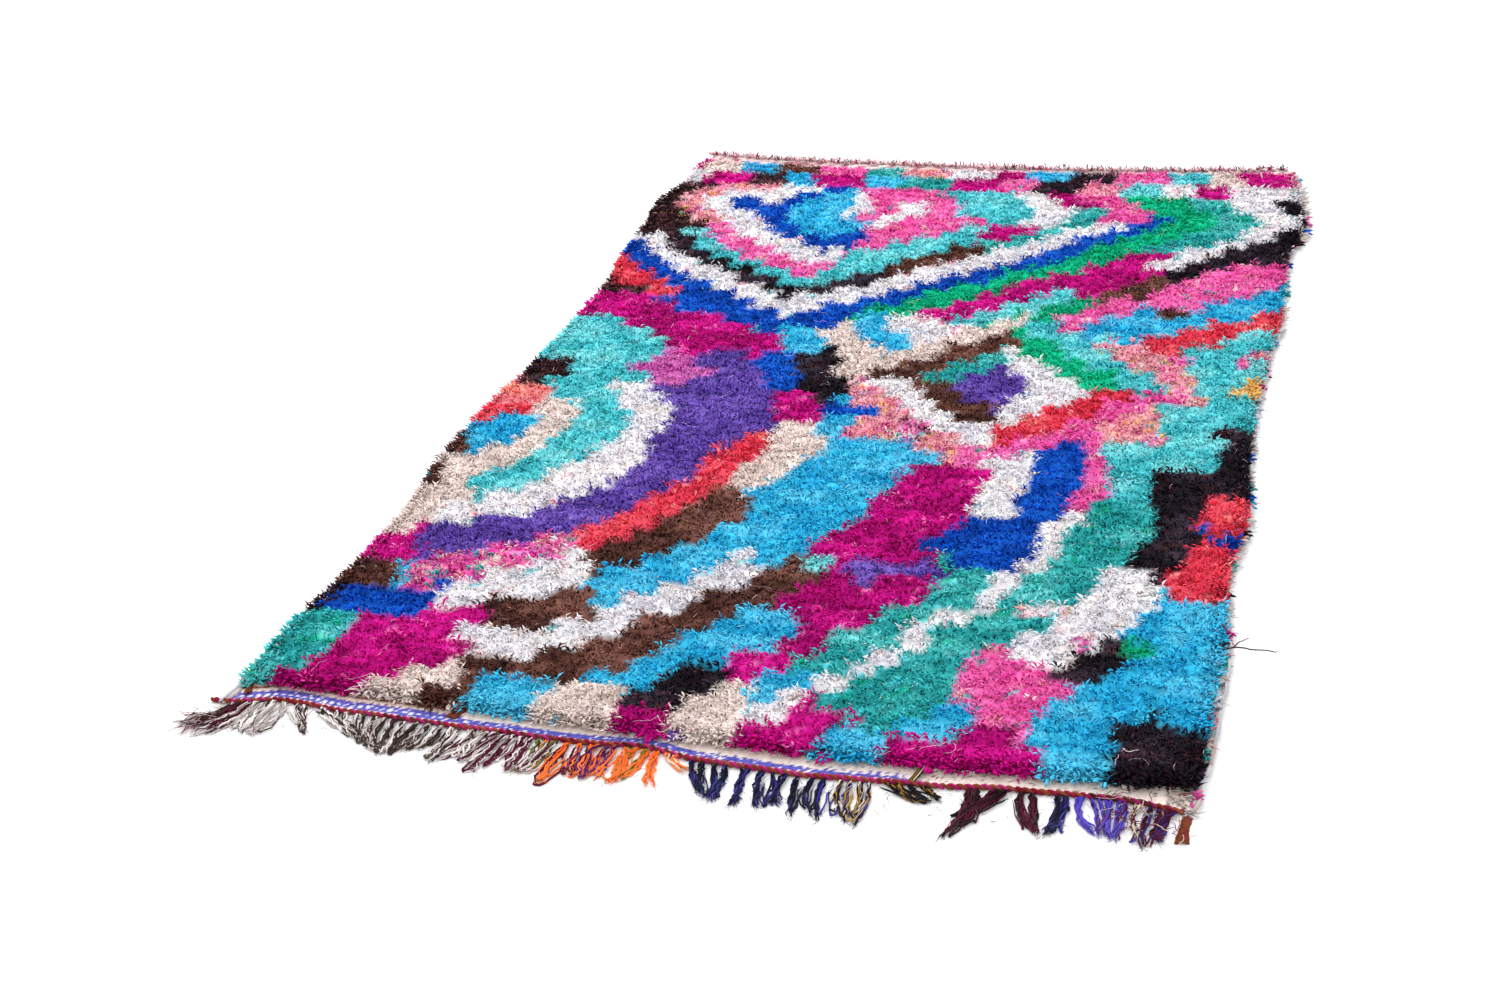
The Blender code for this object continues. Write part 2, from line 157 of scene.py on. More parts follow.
# The pattern is built by rule, in centimetres: rings of rag lie round the middle of each nest, as in the
# nested lozenges these rugs are known for. Each ring has its outer reach and the dyes that follow each other
# round it, each up to an angle in degrees from the near end, to the right; where the rag ran out, the next began.
nests = (
    {"name": "left", "middle": (-2, 86), "stretch": 1.0, "corner": 1.85, "limit": ((-180, 400), (180, 400)), "rings": (
        (14, "brown 40 sky 120 red 180"),
        (22, "brown 20 cream 130 coral 180"),
        (32, "cream 25 turquoise 150 plum 180"),
        (41, "cream 15 white 130 turquoise 180"),
        (52, "magenta 15 purple 125 mauve 145 turquoise 180"),
        (60, "brown 10 sky 20 confetti 40 red 90 purple 130 magenta 180"),
        (69, "plum 10 royal 25 white 40 brown 75 cream 98 magenta 115 royal 130 magenta 180"),
        (78, "teal 10 magenta 25 brown 40 sky 110 black 120 sky 180"),
        (87, "teal 10 magenta 25 white 60 sky 105 cream 180"),
        (95, "cream 25 brown 60 turquoise 66 magenta 88 sky 180"),
        (103, "brown 30 sky 58 magenta 84 white 180"),
        (110, "cream 37 black 48 magenta 68 royal 84 white 94 pink 180"),
        (118, "magenta 36 cream 42 sky 55 teal 74 royal 92 pink 99 red 180"),
        (122, "magenta 45 white 80 pink 180"),
        (132, "magenta 47 teal 80 white 88 turquoise 97 salmon 180"),
        (140, "sky 53 white 60 pink 65 white 76 black 92 turquoise 101 salmon 180"),
        (148, "magenta 52 pink 61 black 66 sky 74 red 90 black 97 turquoise 104 pink 180"),
        (156, "sky 75 red 90 black 97 turquoise 104 pink 180"),
        (400, "black 61 sky 75 red 90 black 180"))},
    {"name": "far", "middle": (46, 205), "stretch": 0.92, "corner": 1.12,
     "limit": ((-180, 95), (-60, 95), (-25, 78), (0, 70), (25, 76), (45, 125), (60, 165), (180, 165)), "rings": (
        (7, "sky 0 white 180"),
        (13, "sky 20 pink 180"),
        (19, "royal -60 sky 30 white 100 pink 180"),
        (27, "white -100 royal 25 pink 180"),
        (34, "salmon -100 white 8 pink 80 turquoise 180"),
        (41, "salmon -70 pink 10 turquoise 180"),
        (48, "plum -62 turquoise 60 magenta 80 white 180"),
        (55, "plum -62 black 20 brown 60 teal 90 magenta 180"),
        (62, "plum -62 white 90 pink 180"),
        (69, "plum -62 royal 88 green 180"),
        (77, "royal -55 red -30 royal 15 green 180"),
        (86, "plum -20 magenta 75 teal 180"),
        (94, "turquoise -20 turquoise 50 magenta 70 white 180"),
        (102, "green 50 brown 65 black 180"),
        (110, "magenta 45 pink 75 black 180"),
        (118, "sky 50 brown 60 pink 80 pink 180"),
        (127, "turquoise 50 sky 80 rose 180"),
        (135, "red 180"),
        (145, "turquoise 180"),
        (153, "salmon 180"),
        (400, "pink 180"))},
    {"name": "small", "middle": (96, 116), "stretch": 1.0, "corner": 1.1, "limit": ((-180, 34), (180, 34)), "rings": (
        (9, "purple 180"),
        (17, "teal -90 brown 0 white 180"),
        (26, "brown -90 white 0 red 90 green 180"),
        (34, "cream -90 salmon 0 pink 90 turquoise 180"))},
)
# Odd rags knotted in here and there: dye, middle across and along, width and length
patches = (
    ("black", 63, 113, 10, 8), ("royal", 70, 102, 14, 6), ("salmon", 78, 97, 12, 8), ("red", 138, 52, 12, 18),
    ("royal", 141, 65, 8, 8), ("green", 131, 31, 6, 6), ("yellow", 140, 119, 6, 6), ("purple", 92, 46, 14, 6),
    ("print", 124, 31, 6, 5), ("print", 84, 97, 6, 5), ("whitePrint", 118, 38, 10, 5),
)
# Courses of blocks close the field, two at the far end and one at the near end, each block a few rags wide
courses = {
    "from": (217, 225, -20), "to": (400, 400, 5), "block": (7, 12),
    "dyes": ("white magenta plum sky magenta sky teal magenta pink black rose turquoise white magenta white white",
             "magenta cream sky brown pink teal salmon white magenta sky black pink turquoise cream magenta cream",
             "teal magenta magenta cream brown sky cream magenta cream magenta sky magenta magenta sky black black"),
}
weaving = {"stepAlong": 0.042, "jag": 0.014, "jagAcross": 0.085, "slant": 0.02, "lean": 0.010, "lotAcross": 0.09,
           "wobble": 3.6, "wobbleSize": 14.0, "angleJag": 5.0, "seed": 5}


def linearColour(code):
    channels = [int(code[start:start + 2], 16) / 255 for start in (0, 2, 4)]
    return [c / 12.92 if c <= 0.04045 else ((c + 0.055) / 1.055) ** 2.4 for c in channels]


def dyeSpans(text):
    # "brown 40 sky 120" as [("brown", 40.0), ("sky", 120.0)]
    words = text.split()
    return [(words[place], float(words[place + 1])) for place in range(0, len(words), 2)]


def layPattern():
    # A number for every run of one dye, kept in the order in which the runs are woven
    chance = np.random.default_rng(weaving["seed"] + 1)
    names, laid = [], []
    for nest in nests:
        for ring, (reach, text) in enumerate(nest["rings"]):
            inner = nest["rings"][ring - 1][0] if ring else 0
            start = -180.0
            for dye, stop in dyeSpans(text):
                stop += chance.uniform(-1, 1) * weaving["angleJag"] if stop < 180 else 0
                laid.append(("ring", nest, inner, reach, start, stop))
                names.append(dye)
                start = stop
    for dye, across, along, width, length in patches:
        laid.append(("patch", across, along, width, length))
        names.append(dye)
    for low, high, text in zip(courses["from"], courses["to"], courses["dyes"]):
        left = -5.0
        for dye in text.split():
            right = left + chance.uniform(*courses["block"])
            shift = chance.uniform(-1, 1)
            laid.append(("block", left, right, low + shift, high + shift))
            names.append(dye)
            left = right
        laid[-1] = laid[-1][:2] + (200.0,) + laid[-1][3:]
    return names, laid


def patternIndex(across, along):
    # Number of the run that covers each place; what is woven later lies over what came before
    x, y = across * 100, along * 100
    size = weaving["wobbleSize"]
    wobble = np.array([noise.noise(Vector((a / size, b / size, 0.5))) for a, b in zip(x, y)]) * weaving["wobble"]
    found = np.zeros(len(x), int)
    fields = {}
    for nest in nests:
        aside, ahead = x - nest["middle"][0], nest["middle"][1] - y
        corner = nest["corner"]
        reach = (np.abs(aside * nest["stretch"]) ** corner + np.abs(ahead) ** corner) ** (1 / corner) + wobble
        angle = np.degrees(np.arctan2(aside, ahead))
        limit = np.interp(angle, *np.array(nest["limit"], float).T)
        fields[nest["name"]] = (reach, angle, reach < limit)
    for index, form in enumerate(patternRuns):
        if form[0] == "ring":
            reach, angle, inside = fields[form[1]["name"]]
            low, high, start, stop = form[2:]
            covered = inside & (reach >= low) & (reach < high) & (angle >= start) & (angle < stop)
        elif form[0] == "patch":
            middleX, middleY, width, length = form[1:]
            covered = (np.abs(x - middleX) < width / 2 + wobble) & (np.abs(y - middleY) < length / 2 + wobble)
        else:
            covered = (x >= form[1]) & (x < form[2]) & (y >= form[3]) & (y < form[4])
        found[covered] = index
    return found


patternDyes, patternRuns = layPattern()


# Yarns, rags and hairs are all gathered as tapered tubes in one of these and made into one mesh at the end
class Strands:
    def __init__(self, seed=1):
        self.points, self.faces, self.dye, self.shade, self.along = [], [], [], [], []
        self.random = random.Random(seed)

    def add(self, path, width, thickness, dye, shade=0.5, sides=4, roll=0.0, taper=0.5):
        # Both ends close to a point; the last ring is narrower by taper
        count = len(path)
        first = len(self.points)
        rings = path[1:-1]
        for index, place in enumerate(rings, 1):
            way = path[index + 1] - path[index - 1]
            across = way.cross(Vector((0, 0, 1)))
            if across.length < 1e-7:
                across = Vector((1, 0, 0))
            across.normalize()
            over = across.cross(way).normalized()
            share = index / (count - 1)
            size = 1 - (1 - taper) * max(0.0, share - 0.6) / 0.4
            for side in range(sides):
                turn = math.tau * side / sides + roll
                offset = across * (width / 2 * size * math.cos(turn)) + over * (thickness / 2 * size * math.sin(turn))
                self.note(place + offset, dye, shade, share)
        self.note(path[0], dye, shade, 0.0)
        self.note(path[-1], dye, shade, 1.0)
        start, tip = len(self.points) - 2, len(self.points) - 1
        for ring in range(len(rings) - 1):
            low = first + ring * sides
            for side in range(sides):
                after = (side + 1) % sides
                self.faces.append((low + side, low + after, low + sides + after, low + sides + side))
        last = first + (len(rings) - 1) * sides
        for side in range(sides):
            after = (side + 1) % sides
            self.faces.append((start, first + after, first + side))
            self.faces.append((tip, last + side, last + after))

    def note(self, place, dye, shade, share):
        self.points.append((place[0], place[1], max(place[2], 0.0001)))
        self.dye.append(dye)
        self.shade.append(shade)
        self.along.append(share)

    def piece(self, name, finish):
        return makePiece(name, self.points, self.faces, finish, self.dye, self.shade, self.along)


def makePiece(name, points, faces, finish, dye, shade=None, along=None, smooth=True):
    mesh = bpy.data.meshes.new(name)
    mesh.from_pydata(points, [], faces)
    colours = np.ones((len(points), 4), np.float32)
    colours[:, :3] = np.asarray(dye, np.float32)
    mesh.attributes.new("dye", "FLOAT_COLOR", "POINT").data.foreach_set("color", colours.ravel())
    for title, values, usual in (("shade", shade, 0.5), ("along", along, 1.0)):
        numbers = np.full(len(points), usual, np.float32) if values is None else np.asarray(values, np.float32)
        mesh.attributes.new(title, "FLOAT", "POINT").data.foreach_set("value", numbers)
    mesh.polygons.foreach_set("use_smooth", [smooth] * len(mesh.polygons))
    mesh.materials.append(finish)
    mesh.update()
    made = bpy.data.objects.new(name, mesh)
    bpy.context.scene.collection.objects.link(made)
    return made


# One cloth finish for every piece: the dye comes with the piece, roots get painted shade, and fine noise mottles it
def clothFinish(name, roughness, mottle, mottleSize, nap, napSize, rootShadeDepth):
    material = bpy.data.materials.new(name)
    material.use_nodes = True
    nodes, links = material.node_tree.nodes, material.node_tree.links
    shader = nodes["Principled BSDF"]
    shader.inputs["Roughness"].default_value = roughness
    shader.inputs["Specular IOR Level"].default_value = 0.06
    place = nodes.new("ShaderNodeTexCoord")

    def attribute(title, output):
        node = nodes.new("ShaderNodeAttribute")
        node.attribute_name = title
        return node.outputs[output]

    def spread(value, low, high, fromLow=0.0, fromHigh=1.0):
        node = nodes.new("ShaderNodeMapRange")
        for title, number in (("From Min", fromLow), ("From Max", fromHigh), ("To Min", low), ("To Max", high)):
            node.inputs[title].default_value = number
        links.new(value, node.inputs["Value"])
        return node.outputs["Result"]

    def times(first, second):
        node = nodes.new("ShaderNodeMath")
        node.operation = "MULTIPLY"
        links.new(first, node.inputs[0])
        links.new(second, node.inputs[1])
        return node.outputs[0]

    def grain(size):
        node = nodes.new("ShaderNodeTexNoise")
        node.inputs["Scale"].default_value = 1 / size
        node.inputs["Detail"].default_value = 2
        links.new(place.outputs["Object"], node.inputs["Vector"])
        return node.outputs["Fac"]

    strand = spread(attribute("shade", "Fac"), 0.91, 1.09)
    light = times(strand, spread(grain(mottleSize), 1 - mottle, 1 + mottle, 0.3, 0.7))
    # Painted shade between the rags: towards the root the dye is raised to a power, so it turns darker and deeper,
    # while white stays light
    rootShade = nodes.new("ShaderNodeGamma")
    links.new(attribute("dye", "Color"), rootShade.inputs["Color"])
    links.new(spread(attribute("along", "Fac"), rootShadeDepth, 1.0, 0.0, 0.7), rootShade.inputs["Gamma"])
    dyed = nodes.new("ShaderNodeVectorMath")
    dyed.operation = "SCALE"
    links.new(rootShade.outputs["Color"], dyed.inputs[0])
    links.new(light, dyed.inputs["Scale"])
    links.new(dyed.outputs[0], shader.inputs["Base Color"])
    if nap:
        bump = nodes.new("ShaderNodeBump")
        bump.inputs["Strength"].default_value = nap
        bump.inputs["Distance"].default_value = 0.001
        links.new(grain(napSize), bump.inputs["Height"])
        links.new(bump.outputs["Normal"], shader.inputs["Normal"])
    return material


# The last number is how much painted shade each finish puts at the roots
finishes = {
    "rag": clothFinish("cut rag", 0.92, 0.12, 0.0040, 0.6, 0.0016, 1.9),
    "woven": clothFinish("flat weave", 0.9, 0.10, 0.0022, 0.5, 0.0012, 1.0),
    "yarn": clothFinish("plied yarn", 0.88, 0.16, 0.0020, 0.5, 0.0011, 1.3),
    "hair": clothFinish("loose fibre", 0.9, 0.06, 0.0100, 0.0, 0.0010, 1.0),
}


def dyeColour(name, chance):
    lots = mixedRags.get(name)
    if lots:
        name = lots[int(chance.random() * len(lots)) % len(lots)]
    return linearColour(dyes[name][int(chance.random() * 3) % 3])


# Rag pile. Short cut rags are knotted in rows and packed close. The lower pile is a lumpy bed, and the
# cut ends stand out of it: each tuft is one of a few shapes, turned and sized at random.
pile = {
    "pitch": 0.0139, "jitter": 0.0032, "strandsPerTuft": 6, "shapes": 10, "pieces": 5,
    "strandLength": (0.0110, 0.0185), "strandWidth": (0.0028, 0.0048), "strandThickness": 0.0011,
    "rimStep": 0.0085, "rimRows": (-0.003, 0.006),
    "smallest": 0.86, "largest": 1.18, "tilt": 0.22, "spin": 1.0, "swirl": 2.2, "swirlSize": 0.09,
    "setBack": 0.002, "rimWidth": 0.018, "rimGrowth": 0.40, "sideInset": 0.009, "seed": 11,
}
# The last two numbers of the bed paint shade on the lower pile: its dyes are darkened, pale ones less
bed = {"across": 92, "along": 150, "height": 0.0170, "lump": 0.0085, "lumpSize": 0.024, "ripple": 0.0022,
       "rowPitch": 0.027, "fade": 0.014, "sunk": 0.0026, "shade": 0.72, "paleShadeLift": 0.26}


def bedHeight(x, y, inset):
    lumps = bed["lump"] * noise.noise(Vector((x / bed["lumpSize"], y / bed["lumpSize"], 2.0)))
    drift = 2.2 * noise.noise(Vector((x / 0.10, y / 0.10, 7.0)))
    ripple = bed["ripple"] * math.sin(math.tau * y / bed["rowPitch"] + drift)
    share = min(1.0, max(0.0, inset / bed["fade"]))
    share = 1 - (1 - share) ** 2
    return 0.0042 + (bed["height"] - 0.0042 + lumps + ripple) * share


def rimInset(x, y):
    nearGap, farGap = y - endLine("nearPile", x), endLine("farPile", x) - y
    return min(x - sideLine("left", y), sideLine("right", y) - x, nearGap, farGap)


def tuftShape(index, finish):
    chance = random.Random(pile["seed"] * 100 + index)
    strandCount = pile["strandsPerTuft"]
    points, faces, shade, along, uvs = [], [], [], [], []
    for strand in range(strandCount):
        length = chance.uniform(*pile["strandLength"])
        half = chance.uniform(*pile["strandWidth"]) / 2
        bearing = -math.pi / 2 + (strand - (strandCount - 1) / 2) * 0.62 + chance.uniform(-0.5, 0.5)
        sweep = bearing + chance.uniform(-0.7, 0.7)
        rise, fall = math.radians(chance.uniform(38, 80)), math.radians(chance.uniform(-8, 46))
        root = Vector((math.cos(bearing), math.sin(bearing), 0.0)) * chance.uniform(0.0005, 0.0045)
        middle = root + length * 0.5 * Vector((math.cos(bearing) * math.cos(rise),
                                               math.sin(bearing) * math.cos(rise), math.sin(rise)))
        tip = middle + length * 0.5 * Vector((math.cos(sweep) * math.cos(fall),
                                              math.sin(sweep) * math.cos(fall), math.sin(fall)))
        first = len(points)
        way = (tip - root).normalized()
        side = way.cross(Vector((0, 0, 1))).normalized()
        over = side.cross(way).normalized()
        roll = chance.uniform(-0.9, 0.9)
        side, over = (side * math.cos(roll) + over * math.sin(roll), over * math.cos(roll) - side * math.sin(roll))
        points += [root, middle - side * half, middle + side * half, middle + over * pile["strandThickness"], tip]
        shade += [chance.random()] * 5
        along += [0.0, 0.5, 0.5, 0.5, 1.0]
        column, row = strand % 3, strand // 3
        low, high, base = (column + 0.05) / 3, (column + 0.95) / 3, row / 2
        for edge in range(3):
            after = (edge + 1) % 3
            left, right = low + (high - low) * edge / 3, low + (high - low) * (edge + 1) / 3
            faces += [(first, first + 1 + after, first + 1 + edge), (first + 1 + edge, first + 1 + after, first + 4)]
            uvs += [((left + right) / 2, base + 0.02), (right, base + 0.25), (left, base + 0.25)]
            uvs += [(left, base + 0.25), (right, base + 0.25), ((left + right) / 2, base + 0.48)]
    mesh = bpy.data.meshes.new(f"tuft shape {index}")
    mesh.from_pydata([tuple(p) for p in points], [], faces)
    mesh.attributes.new("shade", "FLOAT", "POINT").data.foreach_set("value", shade)
    mesh.attributes.new("along", "FLOAT", "POINT").data.foreach_set("value", along)
    layer = mesh.uv_layers.new(name="OFBake")
    layer.data.foreach_set("uv", np.array(uvs, np.float32).ravel())
    mesh.polygons.foreach_set("use_smooth", [True] * len(mesh.polygons))
    mesh.materials.append(finish)
    mesh.update()
    return bpy.data.objects.new(mesh.name, mesh)


def knotTree():
    # Geometry Nodes: a tuft on each knot, leaned and turned, then its own cell of the baking map
    tree = bpy.data.node_groups.new("knot rows", "GeometryNodeTree")
    sockets = {}
    for title, kind in (("Geometry", "NodeSocketGeometry"), ("Tufts", "NodeSocketCollection"),
                        ("Shapes", "NodeSocketInt"), ("Smallest", "NodeSocketFloat"),
                        ("Largest", "NodeSocketFloat"), ("Tilt", "NodeSocketFloat"),
                        ("Spin", "NodeSocketFloat"), ("Swirl", "NodeSocketFloat"),
                        ("Swirl size", "NodeSocketFloat"), ("Map cells", "NodeSocketFloat"),
                        ("Seed", "NodeSocketInt"), ("Finish", "NodeSocketMaterial")):
        sockets[title] = tree.interface.new_socket(title, in_out="INPUT", socket_type=kind).identifier
    tree.interface.new_socket("Geometry", in_out="OUTPUT", socket_type="NodeSocketGeometry")
    nodes, link = tree.nodes, tree.links.new
    given = nodes.new("NodeGroupInput").outputs
    out = nodes.new("NodeGroupOutput")

    def arithmetic(operation, first, second):
        node = nodes.new("ShaderNodeMath")
        node.operation = operation
        for socket, value in zip(node.inputs, (first, second)):
            if isinstance(value, (int, float)):
                socket.default_value = value
            else:
                link(value, socket)
        return node.outputs[0]

    def chance(low, high, step):
        node = nodes.new("FunctionNodeRandomValue")
        node.data_type = "FLOAT"
        link(low, node.inputs[2])
        link(high, node.inputs[3])
        link(arithmetic("ADD", given["Seed"], step), node.inputs["Seed"])
        return node.outputs[1]

    def stored(title, kind):
        node = nodes.new("GeometryNodeInputNamedAttribute")
        node.data_type = kind
        node.inputs["Name"].default_value = title
        return node.outputs["Attribute"]

    tufts = nodes.new("GeometryNodeCollectionInfo")
    tufts.inputs["Separate Children"].default_value = True
    tufts.inputs["Reset Children"].default_value = True
    link(given["Tufts"], tufts.inputs["Collection"])
    pick = nodes.new("FunctionNodeRandomValue")
    pick.data_type = "INT"
    pick.inputs[4].default_value = 0
    link(arithmetic("SUBTRACT", given["Shapes"], 1), pick.inputs[5])
    link(given["Seed"], pick.inputs["Seed"])
    swirl = nodes.new("ShaderNodeTexNoise")
    link(arithmetic("DIVIDE", 1.0, given["Swirl size"]), swirl.inputs["Scale"])
    swirl.inputs["Detail"].default_value = 1.0
    place = nodes.new("GeometryNodeInputPosition")
    link(place.outputs[0], swirl.inputs["Vector"])
    less = arithmetic("MULTIPLY", given["Tilt"], -1.0)
    against = arithmetic("MULTIPLY", given["Spin"], -1.0)
    turn = arithmetic("MULTIPLY", arithmetic("SUBTRACT", swirl.outputs["Fac"], 0.5), given["Swirl"])
    turn = arithmetic("ADD", turn, chance(against, given["Spin"], 3))
    turn = arithmetic("ADD", turn, stored("turn", "FLOAT"))
    angles = nodes.new("ShaderNodeCombineXYZ")
    link(chance(less, given["Tilt"], 1), angles.inputs[0])
    link(chance(less, given["Tilt"], 2), angles.inputs[1])
    link(turn, angles.inputs[2])
    rotation = nodes.new("FunctionNodeEulerToRotation")
    link(angles.outputs[0], rotation.inputs[0])
    put = nodes.new("GeometryNodeInstanceOnPoints")
    link(given["Geometry"], put.inputs["Points"])
    link(tufts.outputs[0], put.inputs["Instance"])
    put.inputs["Pick Instance"].default_value = True
    link(pick.outputs[2], put.inputs["Instance Index"])
    link(rotation.outputs[0], put.inputs["Rotation"])
    size = arithmetic("MULTIPLY", chance(given["Smallest"], given["Largest"], 4), stored("growth", "FLOAT"))
    link(size, put.inputs["Scale"])
    real = nodes.new("GeometryNodeRealizeInstances")
    link(put.outputs[0], real.inputs[0])
    inCell = nodes.new("ShaderNodeVectorMath")
    link(stored("OFBake", "FLOAT_VECTOR"), inCell.inputs[0])
    link(stored("cell", "FLOAT_VECTOR"), inCell.inputs[1])
    share = nodes.new("ShaderNodeVectorMath")
    share.operation = "SCALE"
    link(inCell.outputs[0], share.inputs[0])
    link(arithmetic("DIVIDE", 1.0, given["Map cells"]), share.inputs["Scale"])
    keep = nodes.new("GeometryNodeStoreNamedAttribute")
    keep.data_type, keep.domain = "FLOAT2", "CORNER"
    keep.inputs["Name"].default_value = "OFBake"
    link(real.outputs[0], keep.inputs["Geometry"])
    link(share.outputs[0], keep.inputs["Value"])
    coat = nodes.new("GeometryNodeSetMaterial")
    link(keep.outputs[0], coat.inputs["Geometry"])
    link(given["Finish"], coat.inputs["Material"])
    link(coat.outputs[0], out.inputs[0])
    return tree, sockets


def knotPlaces():
    # Rows across the rug, every other one set half a knot over, with a little hand in both directions
    spots = []
    chance = np.random.default_rng(pile["seed"])
    rows = int(2.45 / pile["pitch"])
    columns = int(1.50 / pile["pitch"])
    for row in range(rows):
        for column in range(columns):
            x = -0.02 + (column + 0.5 * (row % 2)) * pile["pitch"] + chance.uniform(-1, 1) * pile["jitter"]
            y = -0.03 + row * pile["pitch"] + chance.uniform(-1, 1) * pile["jitter"]
            left, right = sideLine("left", y) + pile["sideInset"], sideLine("right", y) - pile["sideInset"]
            low, high = endLine("nearPile", x) + pile["setBack"], endLine("farPile", x) - 0.006
            if left < x < right and low < y < high:
                spots.append((x, y))
    # The rim is knotted closer, so that its tufts fall over the edge and hide the lower pile
    for inset in pile["rimRows"]:
        for column in range(int(1.42 / pile["rimStep"])):
            x = 0.004 + (column + 0.5 * (inset > 0.003)) * pile["rimStep"]
            spots += [(x, endLine("nearPile", x) + inset), (x, endLine("farPile", x) - inset)]
        for row in range(int(2.33 / pile["rimStep"])):
            y = 0.012 + (row + 0.5 * (inset > 0.003)) * pile["rimStep"]
            sideInset = inset + pile["sideInset"]
            spots += [(sideLine("left", y) + sideInset, y), (sideLine("right", y) - sideInset, y)]
    return np.array([(x, y, x - sideLine("left", y), sideLine("right", y) - x, y - endLine("nearPile", x),
                      endLine("farPile", x) - y) for x, y in spots])


def dyeKnots(x, y):
    # The run of dye at each knot, with stepped borders, strays of other rags and the lots of each bath
    chance = np.random.default_rng(weaving["seed"])
    row = np.floor(y / weaving["stepAlong"]).astype(int)
    jags = chance.uniform(-1, 1, (400, 60)) * weaving["jag"]
    column = np.clip((x / weaving["jagAcross"]).astype(int) + 5, 0, 59)
    shiftX = x + jags[row + 40, column]
    shiftY = (row + 0.5) * weaving["stepAlong"] - weaving["lean"]
    shiftY += weaving["slant"] * (y - weaving["lean"] - shiftY)
    runs = patternIndex(shiftX, shiftY)
    colours = np.empty((len(x), 3))
    lotRandom = chance.random((600, 3))
    picks = chance.random((len(x), 5))
    for index, run in enumerate(runs):
        name = patternDyes[run]
        start = 0.0
        for stray, odds in flecks.get(name, ()):
            if start <= picks[index, 0] < start + odds:
                name = stray
                break
            start += odds
        if name in mixedRags:
            rags = mixedRags[name]
            name = rags[int(picks[index, 1] * len(rags)) % len(rags)]
        lots = dyes[name]
        bath = noise.noise(Vector((x[index] / weaving["lotAcross"], row[index] * 0.9, run * 3.7)))
        where = bath * 2.4 + 0.5 + (picks[index, 2] - 0.5) * 0.8
        lot = lots[0] if 0.3 < where < 0.85 else lots[1] if where >= 0.85 else lots[2]
        tone = np.array(linearColour(lot)) * (0.84 + 0.32 * picks[index, 3])
        mixed = np.array(linearColour(lots[0]))
        colours[index] = tone * 0.75 + mixed * 0.25
    return colours, runs


def buildPile():
    spots = knotPlaces()
    x, y = spots[:, 0], spots[:, 1]
    colours, runs = dyeKnots(x, y)
    # Tufts at the rims lean out over the edge
    turn = np.zeros(len(x))
    rim = pile["rimWidth"]
    turn -= 0.9 * np.clip(1 - spots[:, 2] / rim, 0, 1)
    turn += 0.9 * np.clip(1 - spots[:, 3] / rim, 0, 1)
    turn += math.pi * (spots[:, 5] < 0.012)
    edge = np.clip(1 - (spots[:, 4] + 0.004) / rim, 0, 1)
    roots = np.array([bedHeight(a, b, rimInset(a, b)) for a, b in spots[:, :2]]) - bed["sunk"]
    finish = finishes["rag"]
    shapes = bpy.data.collections.new("tuft shapes")
    for index in range(pile["shapes"]):
        shapes.objects.link(tuftShape(index, finish))
    tree, sockets = knotTree()
    order = np.argsort(y, kind="stable")
    made = []
    for part, chosen in enumerate(np.array_split(order, pile["pieces"])):
        cells = math.ceil(math.sqrt(len(chosen)))
        mesh = bpy.data.meshes.new(f"rag_pile_{part + 1}")
        places = np.zeros((len(chosen), 3), np.float32)
        places[:, 0], places[:, 1] = x[chosen] + rugOrigin.x, y[chosen] + rugOrigin.y
        places[:, 2] = roots[chosen]
        mesh.vertices.add(len(chosen))
        mesh.vertices.foreach_set("co", places.ravel())
        dye = np.ones((len(chosen), 4), np.float32)
        dye[:, :3] = colours[chosen]
        mesh.attributes.new("dye", "FLOAT_COLOR", "POINT").data.foreach_set("color", dye.ravel())
        mesh.attributes.new("turn", "FLOAT", "POINT").data.foreach_set("value", turn[chosen].astype(np.float32))
        growth = (1 + pile["rimGrowth"] * edge[chosen]).astype(np.float32)
        mesh.attributes.new("growth", "FLOAT", "POINT").data.foreach_set("value", growth)
        index = np.arange(len(chosen))
        cell = np.zeros((len(chosen), 3), np.float32)
        cell[:, 0], cell[:, 1] = index % cells, index // cells
        mesh.attributes.new("cell", "FLOAT_VECTOR", "POINT").data.foreach_set("vector", cell.ravel())
        piece = bpy.data.objects.new(mesh.name, mesh)
        bpy.context.scene.collection.objects.link(piece)
        knots = piece.modifiers.new("knots", "NODES")
        knots.node_group = tree
        for title, value in (("Tufts", shapes), ("Shapes", pile["shapes"]), ("Smallest", pile["smallest"]),
                             ("Largest", pile["largest"]), ("Tilt", pile["tilt"]), ("Spin", pile["spin"]),
                             ("Swirl", pile["swirl"]), ("Swirl size", pile["swirlSize"]),
                             ("Map cells", float(cells)), ("Seed", pile["seed"] + part), ("Finish", finish)):
            knots[sockets[title]] = value
        evaluated = piece.evaluated_get(bpy.context.evaluated_depsgraph_get())
        plain = bpy.data.meshes.new_from_object(evaluated, preserve_all_data_layers=True,
                                                depsgraph=bpy.context.evaluated_depsgraph_get())
        piece.modifiers.clear()
        piece.data = plain
        plain.name = piece.name
        # No cut end dips into the floor
        heights = np.empty(len(plain.vertices) * 3, np.float32)
        plain.vertices.foreach_get("co", heights)
        heights[2::3] = np.maximum(heights[2::3], 0.0002)
        plain.vertices.foreach_set("co", heights)
        for title in ("cell", "turn", "growth"):
            if title in plain.attributes:
                plain.attributes.remove(plain.attributes[title])
        made.append(piece)
    for shape in list(shapes.objects):
        bpy.data.objects.remove(shape)
    bpy.data.collections.remove(shapes)
    print("rag pile:", len(x), "tufts", sum(len(piece.data.polygons) for piece in made), "faces")
    return made, spots, colours, runs


pilePieces, knots, knotColours, knotRuns = buildPile()


# Ground weave under the pile. Its back shows the knots of each row in their dyes, darkened as painted shade.
ground = {"across": 48, "along": 80, "knotRelief": 0.0006}


